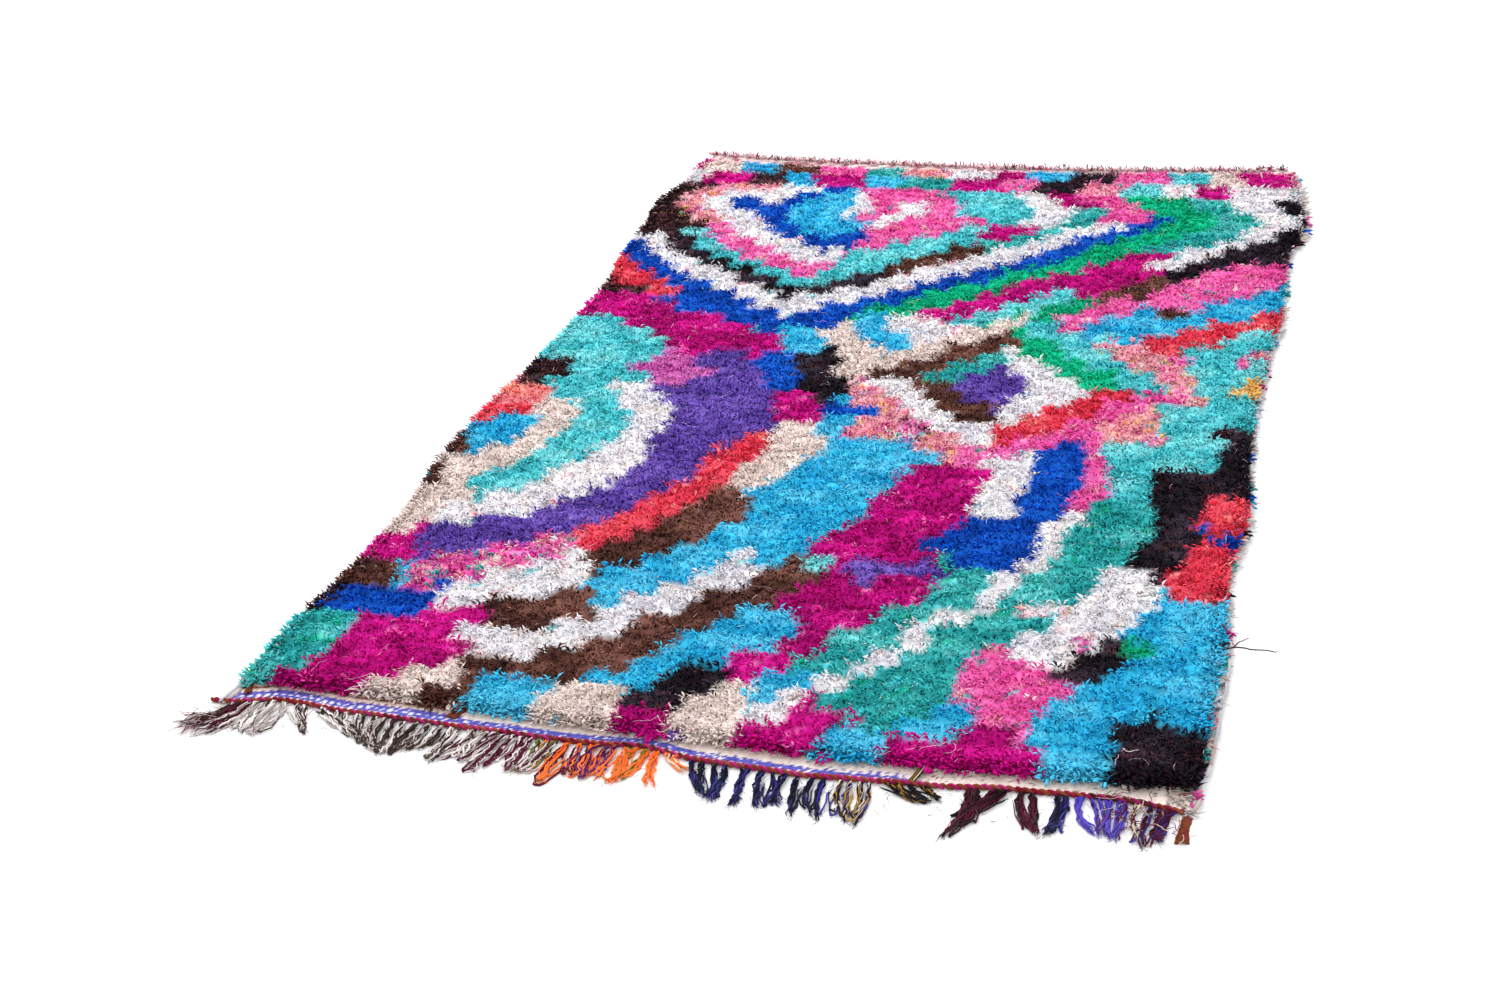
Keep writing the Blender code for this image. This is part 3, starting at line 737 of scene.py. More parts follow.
def sheetGrid(name, acrossCount, alongCount, nearLine, farLine, finish, colourAt, relief,
              insetNear=0.0, insetFar=0.0, floorHeight=0.0003):
    top, bottom, dye = [], [], []
    for j in range(alongCount + 1):
        for i in range(acrossCount + 1):
            x, y = weavePoint(i / acrossCount, j / alongCount, nearLine, farLine)
            y += insetNear * (1 - j / alongCount) - insetFar * j / alongCount
            lift = relief(i, j, x, y)
            top.append(tuple(toFrame(x, y, weave["thickness"] - 0.0004 + lift)))
            bottom.append(tuple(toFrame(x, y, floorHeight)))
            dye.append(colourAt(i, j, x, y))
    width = acrossCount + 1
    under = len(top)
    faces = []
    for j in range(alongCount):
        for i in range(acrossCount):
            a = j * width + i
            faces.append((a, a + 1, a + width + 1, a + width))
            faces.append((under + a, under + a + width, under + a + width + 1, under + a + 1))
    for i in range(acrossCount):
        a, b = i, alongCount * width + i
        faces.append((a, under + a, under + a + 1, a + 1))
        faces.append((b, b + 1, under + b + 1, under + b))
    for j in range(alongCount):
        a, b = j * width, j * width + acrossCount
        faces.append((a, a + width, under + a + width, under + a))
        faces.append((b, under + b, under + b + width, b + width))
    return makePiece(name, top + bottom, faces, finish, dye + dye)


def buildGround():
    columns, rows = ground["across"] + 1, ground["along"] + 1
    spots = [weavePoint(i / ground["across"], j / ground["along"], "nearPile", "farPile")
             for j in range(rows) for i in range(columns)]
    colours, runs = dyeKnots(np.array([s[0] for s in spots]), np.array([s[1] + weaving["lean"] for s in spots]))

    def colourAt(i, j, x, y):
        # Painted shade: the knots' dyes are darkened to 0.72, on top and back alike
        return colours[j * columns + i] * 0.72

    def relief(i, j, x, y):
        return ground["knotRelief"] * (-1 if j % 2 else 0)

    return sheetGrid("ground_weave", ground["across"], ground["along"], "nearPile", "farPile",
                     finishes["woven"], colourAt, relief)


groundWeave = buildGround()


def buildBed():
    # The same grid as a sheet has, but its top is the lumpy lower pile
    columns, rows = bed["across"] + 1, bed["along"] + 1
    spots = [weavePoint(i / bed["across"], j / bed["along"], "nearPile", "farPile")
             for j in range(rows) for i in range(columns)]
    colours, runs = dyeKnots(np.array([s[0] for s in spots]), np.array([s[1] for s in spots]))

    def colourAt(i, j, x, y):
        # Painted shade under the tufts: the lower pile is darker than its dye, less so for pale dyes
        rag = colours[j * columns + i]
        return rag * (bed["shade"] + bed["paleShadeLift"] * float(rag.mean()))

    def relief(i, j, x, y):
        inset = min(i / bed["across"] * 1.42, (1 - i / bed["across"]) * 1.42,
                    j / bed["along"] * 2.33, (1 - j / bed["along"]) * 2.33)
        return bedHeight(x, y, inset) - weave["thickness"]

    return sheetGrid("lower_pile", bed["across"], bed["along"], "nearPile", "farPile",
                     finishes["rag"], colourAt, relief, 0.0, 0.0, 0.0033)


lowerPile = buildBed()
print("ground weave and lower pile:", len(groundWeave.data.polygons) + len(lowerPile.data.polygons), "faces")


# Flat-woven end bands. Weft rows stand up and sink in turn; the near one carries a violet stripe.
bands = {"nearAcross": 472, "nearAlong": 14, "farAcross": 118, "farAlong": 8, "relief": 0.0004, "seed": 3}
bandChance = np.random.default_rng(bands["seed"])
bandDyes = {name: np.array(linearColour(code)) for name, code in (
    ("cream", "e8dad2"), ("shade", "d6c4bc"), ("violet", "5e5cb4"), ("deepViolet", "444196"), ("white", "f0ecf0"),
    ("rust", "965034"), ("rose", "b27680"), ("dark", "4c3a36"), ("pinkWhite", "d2b6ba"), ("maroon", "7a2c46"))}


def nearBandColour(i, j, x, y):
    outward = y - endLine("nearBand", min(max(x, 0), 1.44)) + bandChance.uniform(-0.0012, 0.0012)
    draw = bandChance.random()
    dash = (i // 2) % 2 == 0
    plain = "shade" if draw < 0.25 else "cream"
    stripe = "deepViolet" if draw < 0.3 else "white" if draw > 0.93 else "violet"
    name = plain
    if x < 0.37:
        if 0.003 <= outward < 0.009 or 0.0125 <= outward < 0.021:
            name = stripe
        elif 0.009 <= outward < 0.0125:
            name = "white" if dash else "violet"
        elif 0.021 <= outward < 0.024 and dash:
            name = "rose"
        elif 0.030 <= outward < 0.037 and draw < 0.85:
            name = "rust" if draw < 0.6 else "rose"
    elif x < 1.04 + 0.04 * draw:
        if outward < 0.0035:
            name = "pinkWhite" if dash else "maroon"
        elif outward < 0.0145 - 0.008 * max(0.0, (x - 0.85) / 0.2):
            name = stripe
        elif outward < 0.017 and dash and draw < 0.7:
            name = "violet"
    if name == plain and draw > (0.955 if x > 1.04 else 0.985):
        name = "dark"
    return bandDyes[name] * (0.92 + 0.16 * bandChance.random())


def farBandColour(i, j, x, y):
    draw = bandChance.random()
    name = "pinkWhite" if draw < 0.40 else "cream" if draw < 0.62 else "rose" if draw < 0.86 else "maroon"
    return bandDyes[name] * (0.62 + 0.25 * bandChance.random())


def weftRelief(i, j, x, y):
    return bands["relief"] * (1 if (i // 2 + j) % 2 else -1)


nearBand = sheetGrid("near_band_weave", bands["nearAcross"], bands["nearAlong"], "nearBand", "nearPile",
                     finishes["woven"], nearBandColour, weftRelief, 0.0, 0.0005)
farBand = sheetGrid("far_band_weave", bands["farAcross"], bands["farAlong"], "farPile", "farBand",
                    finishes["woven"], farBandColour, weftRelief, 0.0005, 0.0)
print("end bands:", len(nearBand.data.polygons) + len(farBand.data.polygons), "faces")


# Twisted edging along each end, and the warps that hang from it
edging = {"radius": 0.0042, "ply": 0.0050, "offset": 0.0022, "pitch": 0.022, "step": 0.0036}
yarnDyes = {name: linearColour(code) for name, code in (
    ("magenta", "a92a68"), ("rust", "8a4a34"), ("darkRust", "5e3328"), ("oldRose", "a4566e"), ("oldPink", "bc8490"), ("pinkWhite", "d8bcc0"), ("grey", "b9aeac"), ("white", "ded6d4"),
    ("darkBrown", "463733"), ("maroon", "5e1f38"), ("orange", "ee7a3e"), ("purple", "5b2a6e"),
    ("green", "6f7d3a"), ("cream", "d9cbb8"), ("navy", "24243c"), ("violet", "464396"), ("gold", "a27c34"),
    ("black", "252226"), ("brightViolet", "5f52b8"), ("wine", "8c1f3c"))}


def twistedEdging(name, line, outward, start, stop, plies):
    store = Strands(4)
    count = int((stop - start) / edging["step"])
    for number, dyeNames in enumerate(plies):
        path = []
        for index in range(count + 1):
            x = start + (stop - start) * index / count
            y = endLine(line, min(max(x, 0.0), 1.44)) + outward * (edging["radius"] + weave["edgingGap"])
            turn = math.tau * (x / edging["pitch"] + number / len(plies))
            sway = 0.0006 * math.sin(x * 61)
            path.append(toFrame(x, y + edging["offset"] * math.cos(turn) + sway,
                                edging["radius"] + edging["offset"] * math.sin(turn)))
        # Each ply is dyed in lengths
        length = 26
        for low in range(0, count, length):
            high = min(low + length + 1, count)
            if high - low > 3:
                store.add(path[low:high + 1], edging["ply"], edging["ply"],
                          yarnDyes[store.random.choice(dyeNames)], store.random.random(), 6, 0.0, 0.9)
    return store.piece(name, finishes["yarn"])


nearEdging = twistedEdging("near_edging", "nearBand", -1, -0.030, 1.414,
                           (("magenta", "magenta", "wine"), ("rust", "rust", "darkRust")))
farEdging = twistedEdging("far_edging", "farBand", 1, 0.004, 1.424, (("pinkWhite", "white"), ("oldPink", "pinkWhite")))

# Bunches of warps at the near end, in metres: first and last place, how many, lean and reach of the first
# and the last, and how wide each is
bunches = (
    (0.012, 0.046, 4, -0.058, -0.034, 0.052, 0.096, 0.009), (0.058, 0.088, 3, -0.014, -0.010, 0.082, 0.092, 0.009),
    (0.108, 0.126, 2, 0.040, 0.038, 0.062, 0.070, 0.008), (0.150, 0.226, 6, 0.046, 0.040, 0.034, 0.072, 0.008),
    (0.244, 0.292, 4, 0.030, 0.010, 0.086, 0.086, 0.009), (0.314, 0.350, 3, -0.006, -0.014, 0.072, 0.060, 0.009),
    (0.366, 0.398, 3, -0.006, -0.014, 0.084, 0.078, 0.009), (0.412, 0.440, 3, -0.010, -0.012, 0.070, 0.084, 0.008),
    (0.454, 0.466, 2, -0.020, -0.016, 0.104, 0.080, 0.008), (0.480, 0.532, 5, -0.008, -0.012, 0.084, 0.080, 0.008),
    (0.552, 0.552, 1, -0.008, -0.008, 0.104, 0.104, 0.011), (0.570, 0.622, 5, 0.0, 0.0, 0.080, 0.082, 0.009),
    (0.636, 0.668, 3, -0.006, -0.014, 0.088, 0.076, 0.010), (0.684, 0.684, 1, 0.022, 0.022, 0.082, 0.082, 0.008),
    (0.700, 0.712, 2, 0.034, 0.034, 0.036, 0.026, 0.006), (0.738, 0.788, 4, 0.022, 0.008, 0.066, 0.084, 0.011),
    (0.812, 0.824, 2, 0.006, 0.004, 0.088, 0.084, 0.009), (0.842, 0.856, 2, 0.010, 0.008, 0.082, 0.078, 0.009),
    (0.878, 0.894, 2, 0.006, 0.016, 0.072, 0.090, 0.008), (0.916, 0.932, 2, 0.014, 0.014, 0.084, 0.092, 0.009),
    (0.954, 0.992, 4, 0.014, 0.006, 0.086, 0.096, 0.007), (1.016, 1.064, 4, 0.044, 0.036, 0.038, 0.026, 0.009),
    (1.128, 1.136, 2, -0.022, -0.004, 0.110, 0.086, 0.012), (1.168, 1.178, 2, -0.040, -0.030, 0.070, 0.056, 0.012),
    (1.200, 1.212, 2, 0.022, 0.018, 0.082, 0.088, 0.011), (1.246, 1.256, 2, -0.010, -0.006, 0.090, 0.082, 0.011),
    (1.272, 1.336, 8, 0.022, 0.002, 0.074, 0.088, 0.006), (1.350, 1.358, 2, 0.004, 0.004, 0.066, 0.070, 0.004),
    (1.372, 1.400, 4, -0.006, -0.008, 0.088, 0.066, 0.008),
)
# What the warps are dyed, up to each place across
warpDyes = (
    (0.030, ("darkBrown", "maroon", "grey", "maroon")), (0.052, ("darkBrown", "grey", "white", "maroon")),
    (0.100, ("white", "grey", "white", "darkBrown")), (0.200, ("white", "darkBrown", "grey", "darkBrown")),
    (0.300, ("darkBrown", "white", "darkBrown", "grey")), (0.355, ("darkBrown", "darkBrown", "grey")),
    (0.405, ("maroon", "darkBrown", "white", "grey")), (0.432, ("white", "grey", "darkBrown")),
    (0.505, ("maroon", "white", "maroon", "grey")), (0.540, ("white", "maroon", "green", "orange", "grey")),
    (0.562, ("orange", "orange", "orange", "maroon")), (0.628, ("orange", "purple", "orange", "maroon", "orange")),
    (0.675, ("orange", "orange", "green", "orange")), (0.694, ("orange", "orange")),
    (0.735, ("cream", "orange", "orange")), (0.945, ("navy", "navy", "violet", "navy")),
    (1.000, ("black", "cream", "black", "violet", "gold", "navy")), (1.070, ("black", "black", "gold", "black")),
    (1.180, ("maroon", "black", "maroon", "darkBrown")), (1.230, ("maroon", "darkBrown", "maroon", "black")),
    (1.262, ("navy", "violet", "black")), (1.342, ("brightViolet", "brightViolet", "maroon")),
    (1.364, ("maroon", "cream")), (1.500, ("maroon", "violet", "black", "maroon")),
)
warps = {"thickness": 0.0031, "points": 13, "wander": 0.0046, "crimp": 0.0014, "crimpPitch": 0.021,
         "spread": 1.10, "ropesFrom": 0.73, "ropeSpread": 0.72, "gather": 0.30, "bend": 0.011, "pile": 0.0042,
         "looped": 0.22, "looseLooped": 0.36, "looseCurl": 1.6, "loopWidth": 0.011, "frays": 2, "fluff": 380, "seed": 21}


def warpChoice(x):
    return next(names for limit, names in warpDyes if x <= limit)


def curledHair(store, start, bearing, length, width, dye, height=0.0, curl=1.0, points=6):
    path = [start.copy()]
    step = length / (points - 1)
    rise = height
    for index in range(points - 1):
        bearing += store.random.uniform(-1, 1) * curl
        ahead = Vector((math.cos(bearing), math.sin(bearing), 0.0)) * step
        ahead.z = store.random.uniform(-0.35, 0.35) * step + rise * step
        rise *= 0.3
        after = path[-1] + ahead
        after.z = max(after.z, width * 0.6)
        path.append(after)
    store.add(path, width, width, dye, store.random.random(), 3, 0.0, 0.8)


def buildWarps():
    store = Strands(warps["seed"])
    chance = store.random
    for start, stop, count, leanFirst, leanLast, reachFirst, reachLast, width in bunches:
        middleTip = (start + stop + leanFirst + leanLast) / 2
        for index in range(count):
            share = index / (count - 1) if count > 1 else 0.0
            x = start + share * (stop - start)
            lean, reach = leanFirst + share * (leanLast - leanFirst), reachFirst + share * (reachLast - reachFirst)
            rootY = endLine("nearBand", x) - 0.0078
            names = warpChoice(x)
            # From the navy warps on they are tight ropes, before that loose bunches
            tight = x > warps["ropesFrom"]
            curl = 1.0 if tight else warps["looseCurl"]
            twist = chance.uniform(6, 11) if tight else chance.uniform(1.0, 4.0)
            bend = warps["bend"] * chance.uniform(-1, 1)
            total = max(4, round(width / 0.00125))
            for yarn in range(total):
                size = warps["thickness"] * chance.uniform(0.8, 1.15) * (1.0 if tight else 1.15)
                phase = math.tau * yarn / total + chance.uniform(-0.5, 0.5)
                across = width / 2 * (0.35 + 0.65 * (yarn % 2)) * chance.uniform(0.7, 1.2)
                across *= warps["ropeSpread"] if tight else warps["spread"]
                length = chance.uniform(0.82, 1.05)
                pull = warps["gather"] * (middleTip - x - lean) * chance.uniform(0.8, 1.2)
                wander, waves = warps["wander"] * chance.uniform(-1, 1), chance.uniform(0.6, 1.3)
                crimps, crimpStart = reach / warps["crimpPitch"], chance.uniform(0, math.tau)
                loopShare = warps["looped"] if tight else warps["looseLooped"]
                looped = chance.random() < (loopShare if width > 0.0065 else 0.0)
                path = []
                for point in range(warps["points"]):
                    t = point / (warps["points"] - 1)
                    along, aside = t * length, 0.0
                    if looped:
                        # An uncut warp goes out and comes back beside itself
                        along = length * 0.94 * math.sin(t * 2.9)
                        aside = warps["loopWidth"] * (0.5 - math.cos(t * 2.9) * 0.5) * math.copysign(1, wander)
                    turn = phase + twist * t
                    sway = across * math.cos(turn) * (1 - 0.18 * t + 0.5 * t ** 6) + bend * math.sin(math.pi * t)
                    sway += curl * wander * math.sin(phase + waves * math.tau * t) * (0.1 + t)
                    sway += curl * warps["crimp"] * math.sin(crimpStart + crimps * math.tau * t)
                    place = toFrame(x + (lean + pull) * along ** 1.6 + sway + aside, rootY - reach * along)
                    layer = 0.5 + 0.5 * math.sin(turn)
                    hang = 0.0028 * (1 - t) ** 2 * math.sin(math.pi * min(1.0, t * 4 + 0.15))
                    place.z = size * 0.52 + hang + warps["pile"] * layer * min(1.0, 0.25 + t * 5) * (1 - 0.4 * t)
                    path.append(place)
                dye = yarnDyes[names[yarn % len(names)] if chance.random() < 0.7 else chance.choice(names)]
                store.add(path, size, size, dye, chance.random(), 4, chance.random(), 0.7)
                if yarn % 2:
                    wound = []
                    for index2, place in enumerate(path[::2]):
                        turn = index2 * 1.3 + phase
                        wound.append(place + Vector((math.cos(turn), 0.0, 0.7 + 0.3 * math.sin(turn))) * size * 0.55)
                    store.add(wound, 0.0012, 0.0012, yarnDyes[chance.choice(names)], chance.random(), 3, 0.0, 0.8)
                way = path[-1] - path[-2]
                for fray in range(warps["frays"]):
                    curledHair(store, path[-1 - fray % 2], math.atan2(way.y, way.x) + chance.uniform(-0.6, 0.6),
                               chance.uniform(0.005, 0.013), 0.0006, dye, 0.2, 0.5, 5)
    # Fluff from the cut yarns clings between the bunches
    for number in range(warps["fluff"]):
        x = 1.42 * chance.random() ** 1.7
        spot = toFrame(x + chance.uniform(-0.01, 0.01), endLine("nearBand", x) - chance.uniform(0.01, 0.075),
                       chance.uniform(0.001, 0.006))
        dye = yarnDyes[chance.choice(warpChoice(x))]
        curledHair(store, spot, -math.pi / 2 + chance.uniform(-1.2, 1.2), chance.uniform(0.010, 0.028), 0.0006,
                   dye, 0.1, 0.8, 6)
    # The left corner has come undone into a loose net of ends that cross
    for number in range(76):
        spot = toFrame(chance.uniform(-0.036, 0.018), chance.uniform(-0.112, -0.060), chance.uniform(0.001, 0.007))
        dye = yarnDyes[chance.choice(("maroon", "wine", "darkBrown", "pinkWhite", "darkBrown"))]
        bearing = -2.5 + (0.55 if number % 2 else -0.55) + chance.uniform(-0.3, 0.3)
        curledHair(store, spot, bearing, chance.uniform(0.020, 0.040), 0.0011, dye, 0.1, 0.25, 7)
    # One black and gold end lies up over the band
    for number, name in enumerate(("black", "gold", "black", "cream", "black")):
        path = []
        for point in range(12):
            t = point / 11
            path.append(toFrame(1.048 + (number - 2) * 0.0019 + 0.010 * math.sin(t * 2.2), -0.045 + 0.050 * t,
                                0.0062 + 0.0030 * math.sin(math.pi * t)))
        store.add(path, 0.0022, 0.0022, yarnDyes[name], chance.random(), 5, 0.0, 0.6)
    # Wine threads are tangled over the band at the right corner
    for number in range(60):
        spot = toFrame(chance.uniform(1.315, 1.422), chance.uniform(-0.088, -0.008), chance.uniform(0.0048, 0.008))
        dye = yarnDyes[chance.choice(("wine", "maroon", "maroon", "cream"))]
        curledHair(store, spot, chance.uniform(0, math.tau), chance.uniform(0.02, 0.045), 0.0011, dye, 0.1, 0.7, 9)
    return store.piece("near_warps", finishes["yarn"])


nearWarps = buildWarps()
print("near fringe:", len(nearWarps.data.polygons), "faces")


farEnds = {"count": 760, "reach": (0.012, 0.040), "thickness": 0.0028, "seed": 31}


def buildFarWarps():
    # Cut warps and knot ends, some lying out and some standing up as stubble
    store = Strands(farEnds["seed"])
    chance = store.random
    names = ("oldPink", "oldPink", "oldRose", "pinkWhite", "pinkWhite", "maroon", "wine", "grey", "grey", "magenta",
             "darkBrown")
    for index in range(farEnds["count"]):
        x = 0.006 + 1.410 * (index + chance.uniform(0.1, 0.9)) / farEnds["count"]
        short = chance.random() < 0.7
        root = endLine("farBand", x) + (chance.uniform(-0.020, 0.007) if short else 0.004)
        drift = chance.uniform(-0.008, 0.008)
        reach = chance.uniform(0.004, 0.014) if short else chance.uniform(*farEnds["reach"])
        rise = chance.uniform(0.007, 0.018) if short else 0.0
        path = []
        for point in range(5):
            t = point / 4
            path.append(toFrame(x + drift * t + 0.0015 * math.sin(t * 9 + index), root + reach * t,
                                0.0026 + 0.0035 * (1 - t) ** 2 + rise * t))
        name = "darkBrown" if x > 1.38 and chance.random() < 0.7 else chance.choice(names)
        store.add(path, farEnds["thickness"], farEnds["thickness"] * 0.8, yarnDyes[name], chance.random(), 4, 0.3, 0.5)
        if index % 3 == 0:
            curledHair(store, path[-2], math.pi / 2 + chance.uniform(-1.4, 1.4), 0.012, 0.0012, yarnDyes[name], 0.5)
    return store.piece("far_warps", finishes["yarn"])


farWarps = buildFarWarps()


# Selvedge cords wander in and out along both sides, white for the most part
selvedge = {"thickness": 0.0062, "step": 0.006, "wave": 0.0028, "run": 30, "frays": 110, "rags": 64,
            "bare": (0.06, 0.35), "bareOut": 0.0055}


def buildSelvedge():
    store = Strands(41)
    chance = store.random
    usual = ["white", "cream", "cream", "white"]
    odd = ["pink", "teal", "black", "salmon", "sky", "magenta"]

    def dyeOf(name):
        # Cords and frays lie in full light, so their pale dyes are duller than the pile's
        return [0.62 * channel for channel in linearColour(chance.choice(dyes[name]))]

    for side, outward in (("left", -1), ("right", 1)):
        for cord in range(2):
            y = -0.045
            path, marks = [], []
            while y < 2.40:
                wander = selvedge["wave"] * (noise.noise(Vector((y * 22, cord * 9.0, outward))) * 2.2)
                x = sideLine(side, y) + outward * (0.0044 * cord - 0.0002) + wander
                if side == "right":
                    # Near the right corner the cords stand clear of the pile
                    x += selvedge["bareOut"] * float(np.interp(y, (-0.02, *selvedge["bare"], 0.42), (0, 1, 1, 0)))
                lift = 0.0030 + 0.0034 * cord + 0.004 * abs(noise.noise(Vector((y * 30, 5.0, outward + cord))))
                path.append(toFrame(x, y, lift))
                y += selvedge["step"]
            low = 0
            while low < len(path) - 3:
                high = min(len(path), low + chance.randint(5, selvedge["run"]))
                name = chance.choice(usual if low < 62 or chance.random() < 0.8 else odd)
                if high - low > 3:
                    store.add(path[low:high], selvedge["thickness"], selvedge["thickness"] * 0.8, dyeOf(name),
                              chance.random(), 6, 0.0, 0.8)
                low = high - 2
    # Frayed ends stand out along the edges, most of them at the far right
    for number in range(selvedge["frays"]):
        y = 2.36 * chance.random() ** 0.8
        side, outward = ("right", 1) if chance.random() < 0.75 else ("left", -1)
        name = chance.choice(usual if chance.random() < 0.75 else odd)
        spot = toFrame(sideLine(side, y) + outward * chance.uniform(-0.002, 0.008), y, chance.uniform(0.004, 0.016))
        bearing = (0.0 if outward > 0 else math.pi) + chance.uniform(-1.2, 1.2)
        curledHair(store, spot, bearing, chance.uniform(0.010, 0.026), 0.0014, dyeOf(name), 0.1, 0.5, 6)
    # Bundles of rag are caught in the right selvedge, larger towards the far corner
    for number in range(selvedge["rags"]):
        y = -0.02 + 2.38 * (number + chance.random()) / selvedge["rags"]
        name = chance.choice(usual if chance.random() < 0.6 else odd + ["royal"])
        large = 1.7 if 1.95 < y < 2.30 else 1.0
        for rag in range(7):
            spot = toFrame(sideLine("right", y) - 0.004, y + chance.uniform(-0.010, 0.010), chance.uniform(0.005, 0.012))
            curledHair(store, spot, chance.uniform(-1.3, 0.9), large * chance.uniform(0.012, 0.022), 0.0054,
                       dyeOf(name), 0.2, 0.4, 5)
    # The cream corner of the near band is frayed
    for number in range(60):
        spot = toFrame(chance.uniform(1.385, 1.424), chance.uniform(-0.030, 0.016), chance.uniform(0.0035, 0.006))
        curledHair(store, spot, chance.uniform(-1.5, 0.9), chance.uniform(0.008, 0.018), 0.0022, dyeOf("cream"),
                   0.1, 0.5, 5)
    return store.piece("selvedge_cords", finishes["yarn"])


selvedgeCords = buildSelvedge()


# Cut rag ends that lie on the band: a strip with a soft fold along it
ragEnds = {
    "rust_rag_left": {"start": (0.012, 0.016), "end": (0.022, -0.012), "width": 0.012, "base": 0.0033},
    "rust_rag_middle": {"start": (0.368, 0.010), "end": (0.356, -0.016), "width": 0.016, "base": 0.0033},
    "rust_rag_corner": {"start": (1.418, -0.0439), "end": (1.416, -0.102), "width": 0.018, "base": 0.0},
}


def buildRag(node, rag):
    start, end = Vector(rag["start"]), Vector(rag["end"])
    way = (end - start).normalized()
    aside = Vector((way.y, -way.x))
    rows, columns = 16, 6
    top, under, dye = [], [], []
    chance = random.Random(len(node))
    for row in range(rows + 1):
        t = row / rows
        narrow = 0.62 + 0.36 * t + 0.07 * math.sin(7 * t + 1) + chance.uniform(-0.06, 0.06)
        for column in range(columns + 1):
            s = column / columns - 0.5
            bow = 0.10 * math.sin(2.6 * t) * rag["width"]
            flat = start.lerp(end, t) + aside * (s * rag["width"] * narrow + bow) + way * (0.005 * s * t)
            ragged = chance.uniform(-0.0008, 0.0008) if row in (0, rows) else 0.0
            fold = 0.0018 * math.cos(s * 8.5 + 1.6 * math.sin(3 * t)) + 0.0012 * math.sin(t * 8.0)
            height = rag["base"] + 0.0020 + max(fold, -0.0012)
            top.append(tuple(toFrame(flat.x, flat.y + ragged, height)))
            under.append(tuple(toFrame(flat.x, flat.y + ragged, max(height - 0.0012, 0.0002))))
            dye.append(np.array(linearColour("743a26")) * (0.75 + 0.4 * chance.random()))
    width = columns + 1
    low = len(top)
    faces = []
    for row in range(rows):
        for column in range(columns):
            a = row * width + column
            faces.append((a, a + width, a + width + 1, a + 1))
            faces.append((low + a, low + a + 1, low + a + width + 1, low + a + width))
    edge = [c for c in range(width)] + [r * width + columns for r in range(1, rows + 1)]
    edge += [rows * width + c for c in range(columns - 1, -1, -1)] + [r * width for r in range(rows - 1, 0, -1)]
    for a, b in zip(edge, edge[1:] + edge[:1]):
        faces.append((a, b, low + b, low + a))
    return makePiece(node + "_cloth", top + under, faces, finishes["woven"], dye + dye)


ragPieces = {node: buildRag(node, rag) for node, rag in ragEnds.items()}
print("edging, far fringe, selvedges and rag ends are made")


# Loose fibres stand up from the pile, and a few long threads have worked out of it
loose = {"fibres": 2100, "fibreLength": (0.008, 0.020), "fibreWidth": 0.0006, "threads": 52, "seed": 51}


def buildLoose():
    store = Strands(loose["seed"])
    chance = store.random
    light = [linearColour(code) for code in ("f2ecee", "e8d8d8", "f0b8d0", "d8c8c4")]
    for number in range(loose["fibres"]):
        index = chance.randrange(len(knots))
        x, y = knots[index][0] + chance.uniform(-0.008, 0.008), knots[index][1] + chance.uniform(-0.008, 0.008)
        own = list(knotColours[index])
        dye = own if chance.random() < 0.72 else chance.choice(light)
        curledHair(store, toFrame(x, y, chance.uniform(0.017, 0.026)), chance.uniform(0, math.tau),
                   chance.uniform(*loose["fibreLength"]), loose["fibreWidth"], dye, 0.8, 0.8, 4)
    for number in range(loose["threads"]):
        index = chance.randrange(len(knots))
        own, pale = knotColours[index], chance.choice(light)
        dye = [0.5 * a + 0.5 * b for a, b in zip(own, pale)]
        spot = toFrame(knots[index][0], knots[index][1], 0.0262)
        curledHair(store, spot, chance.uniform(0, math.tau), chance.uniform(0.02, 0.05), 0.0007, dye, 0.1, 0.8, 12)
    # Long rags hang over the near band in places
    for x, name, length in ((0.652, "magenta", 0.020), (0.663, "magenta", 0.036), (0.672, "magenta", 0.022),
                            (0.695, "purple", 0.020), (0.706, "purple", 0.016), (0.876, "magenta", 0.018),
                            (0.915, "magenta", 0.032), (0.928, "magenta", 0.020), (0.985, "sky", 0.016),
                            (0.345, "cream", 0.020), (0.36, "brown", 0.018), (0.51, "sky", 0.018)):
        for rag in range(5):
            start = toFrame(x + chance.uniform(-0.004, 0.004), endLine("nearPile", x) + 0.010, 0.014)
            path = [start]
            for step in range(1, 5):
                t = step / 4
                path.append(start + Vector((chance.uniform(-0.003, 0.003), -0.008 - length * t * chance.uniform(0.8, 1),
                                            -0.0085 * t)))
            store.add(path, 0.0042, 0.0018, linearColour(chance.choice(dyes[name])), chance.random(), 4, 0.2, 0.4)
    # A dark thread curls out over the right edge, and pale ones hang over the near band
    for x, y, bearing, length, width, code in ((1.420, 0.338, 0.1, 0.095, 0.0028, "201c22"),
                                               (1.422, 0.332, -0.1, 0.070, 0.0022, "2c262c"),
                                               (1.416, 0.342, 0.3, 0.030, 0.0050, "18141a"),
                                               (1.424, 0.410, -0.6, 0.044, 0.0030, "7c1e34")):
        curledHair(store, toFrame(x, y, 0.018), bearing, length, width, linearColour(code), 0.1, 0.32, 16)
    for x, y in ((0.205, 0.045), (0.212, 0.02), (0.232, 0.03), (0.665, 0.02), (0.71, 0.01), (1.09, 0.03),
                 (1.045, 0.03), (1.32, 0.06)):
        for pair in range(2):
            curledHair(store, toFrame(x + 0.004 * pair, y, 0.025), -math.pi / 2 + chance.uniform(-0.7, 0.7),
                       chance.uniform(0.03, 0.05), 0.0009, light[pair * 2], 0.2, 0.6, 12)
    return store.piece("loose_threads", finishes["hair"])


looseThreads = buildLoose()
print("loose threads:", len(looseThreads.data.polygons), "faces")
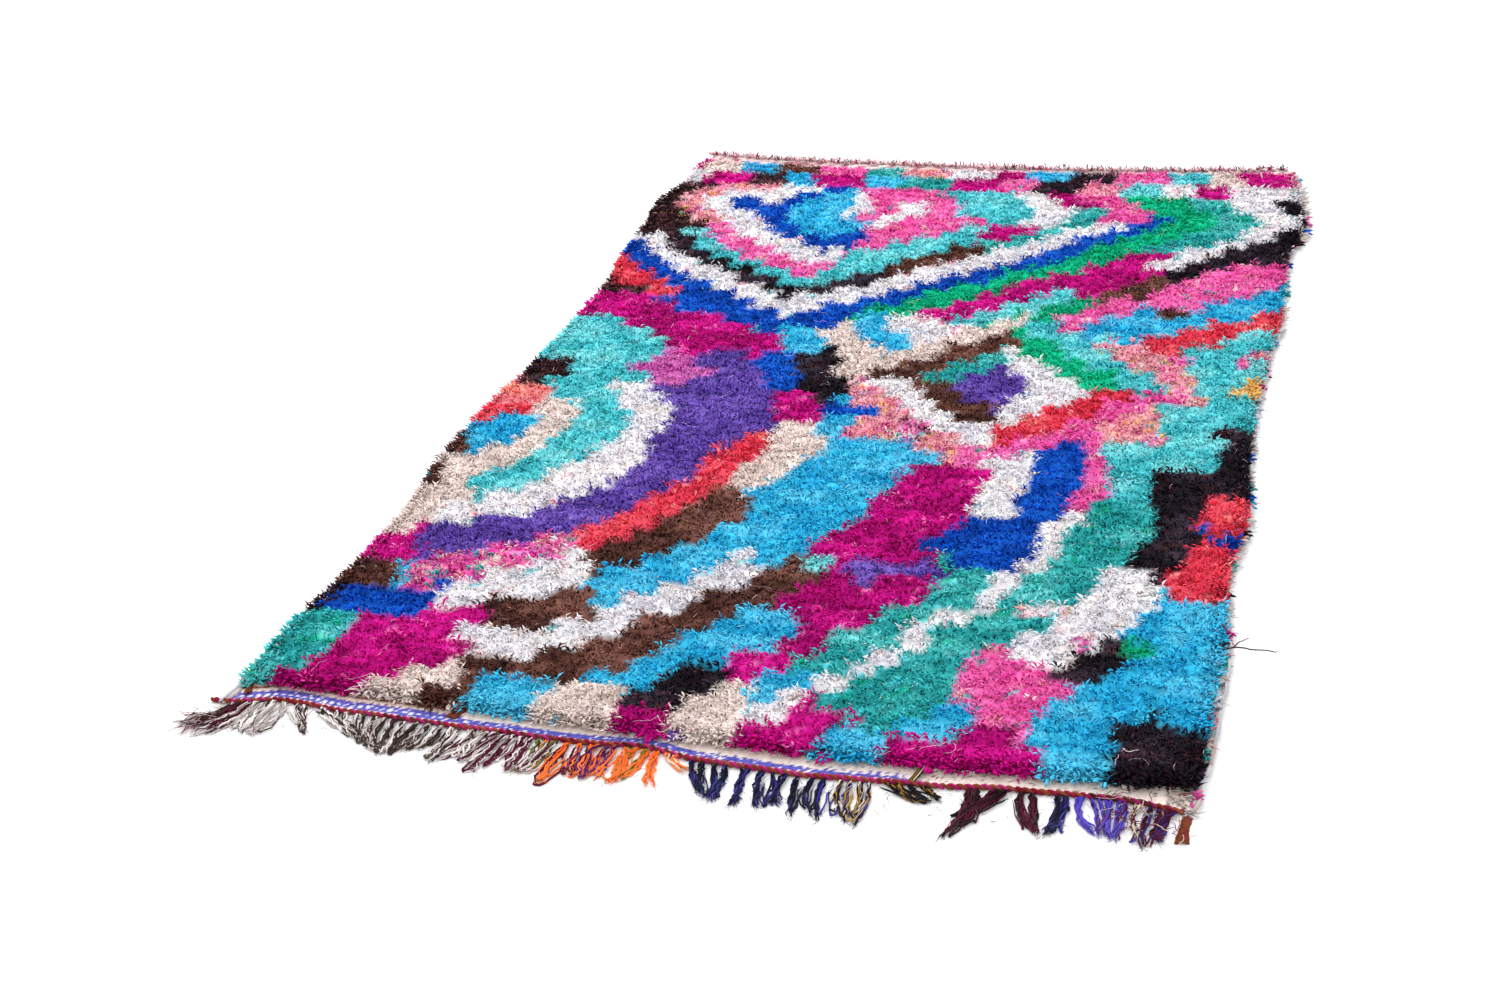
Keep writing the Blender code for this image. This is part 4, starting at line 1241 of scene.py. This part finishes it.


# Every piece rides on the one body and stands for its solid, which is hidden
for piece in pilePieces + [groundWeave, lowerPile, selvedgeCords, looseThreads]:
    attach(piece, "root")
    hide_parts("pile_field")
for piece, node, slot in ((nearBand, "near_band", "band_weave"), (farBand, "far_band", "band_weave"),
                          (nearEdging, "near_fringe", "fringe_yarn"), (nearWarps, "near_fringe", "fringe_yarn"),
                          (farEdging, "far_fringe", "fringe_yarn"), (farWarps, "far_fringe", "fringe_yarn")):
    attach(piece, "root")
    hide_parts(node)
for node, piece in ragPieces.items():
    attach(piece, "root")
    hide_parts(node)

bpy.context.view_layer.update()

# The studio: a pale floor, soft light from all round and a large soft lamp from the far left
studio = {"floor": (0.86, 0.86, 0.865), "sky": 1.30, "lamp": 200, "lampSize": 3.5, "lampPlace": (-1.6, 2.6, 3.4)}
floorMesh = bpy.data.meshes.new("studio_floor")
floorMesh.from_pydata([(-9, -9, 0), (9, -9, 0), (9, 9, 0), (-9, 9, 0)], [], [(0, 1, 2, 3)])
floorFinish = bpy.data.materials.new("studio floor")
floorFinish.use_nodes = True
floorFinish.node_tree.nodes["Principled BSDF"].inputs["Base Color"].default_value = (*studio["floor"], 1)
floorFinish.node_tree.nodes["Principled BSDF"].inputs["Roughness"].default_value = 0.95
floorMesh.materials.append(floorFinish)
floor = bpy.data.objects.new("studio_floor", floorMesh)
bpy.context.scene.collection.objects.link(floor)
lampData = bpy.data.lights.new("soft_lamp", "AREA")
lampData.energy, lampData.size = studio["lamp"], studio["lampSize"]
lamp = bpy.data.objects.new("soft_lamp", lampData)
lamp.location = studio["lampPlace"]
lamp.rotation_euler = (-lamp.location).to_track_quat("-Z", "Y").to_euler()
bpy.context.scene.collection.objects.link(lamp)
world = bpy.data.worlds.new("studio")
world.use_nodes = True
world.node_tree.nodes["Background"].inputs["Color"].default_value = (1, 1, 1, 1)
world.node_tree.nodes["Background"].inputs["Strength"].default_value = studio["sky"]
bpy.context.scene.world = world
bpy.context.scene.view_settings.view_transform = "Standard"

# The photographer stood at the right of the near end, camera at standing height
shot = {"eye": (1.55297, -2.19022, 1.65654), "ahead": (-0.27303, 0.83445, -0.47871), "lens": 48.1}
cameraData = bpy.data.cameras.new("camera")
cameraData.lens, cameraData.sensor_width = shot["lens"], 36
camera = bpy.data.objects.new("camera", cameraData)
ahead = Vector(shot["ahead"]).normalized()
upward = Vector((-0.07445, 0.47780, 0.87532))
right = ahead.cross(upward).normalized()
upward = right.cross(ahead)
turned = Matrix((right, upward, -ahead)).transposed().to_4x4()
camera.matrix_world = Matrix.Translation(toFrame(*shot["eye"])) @ turned
bpy.context.scene.collection.objects.link(camera)
bpy.context.scene.camera = camera
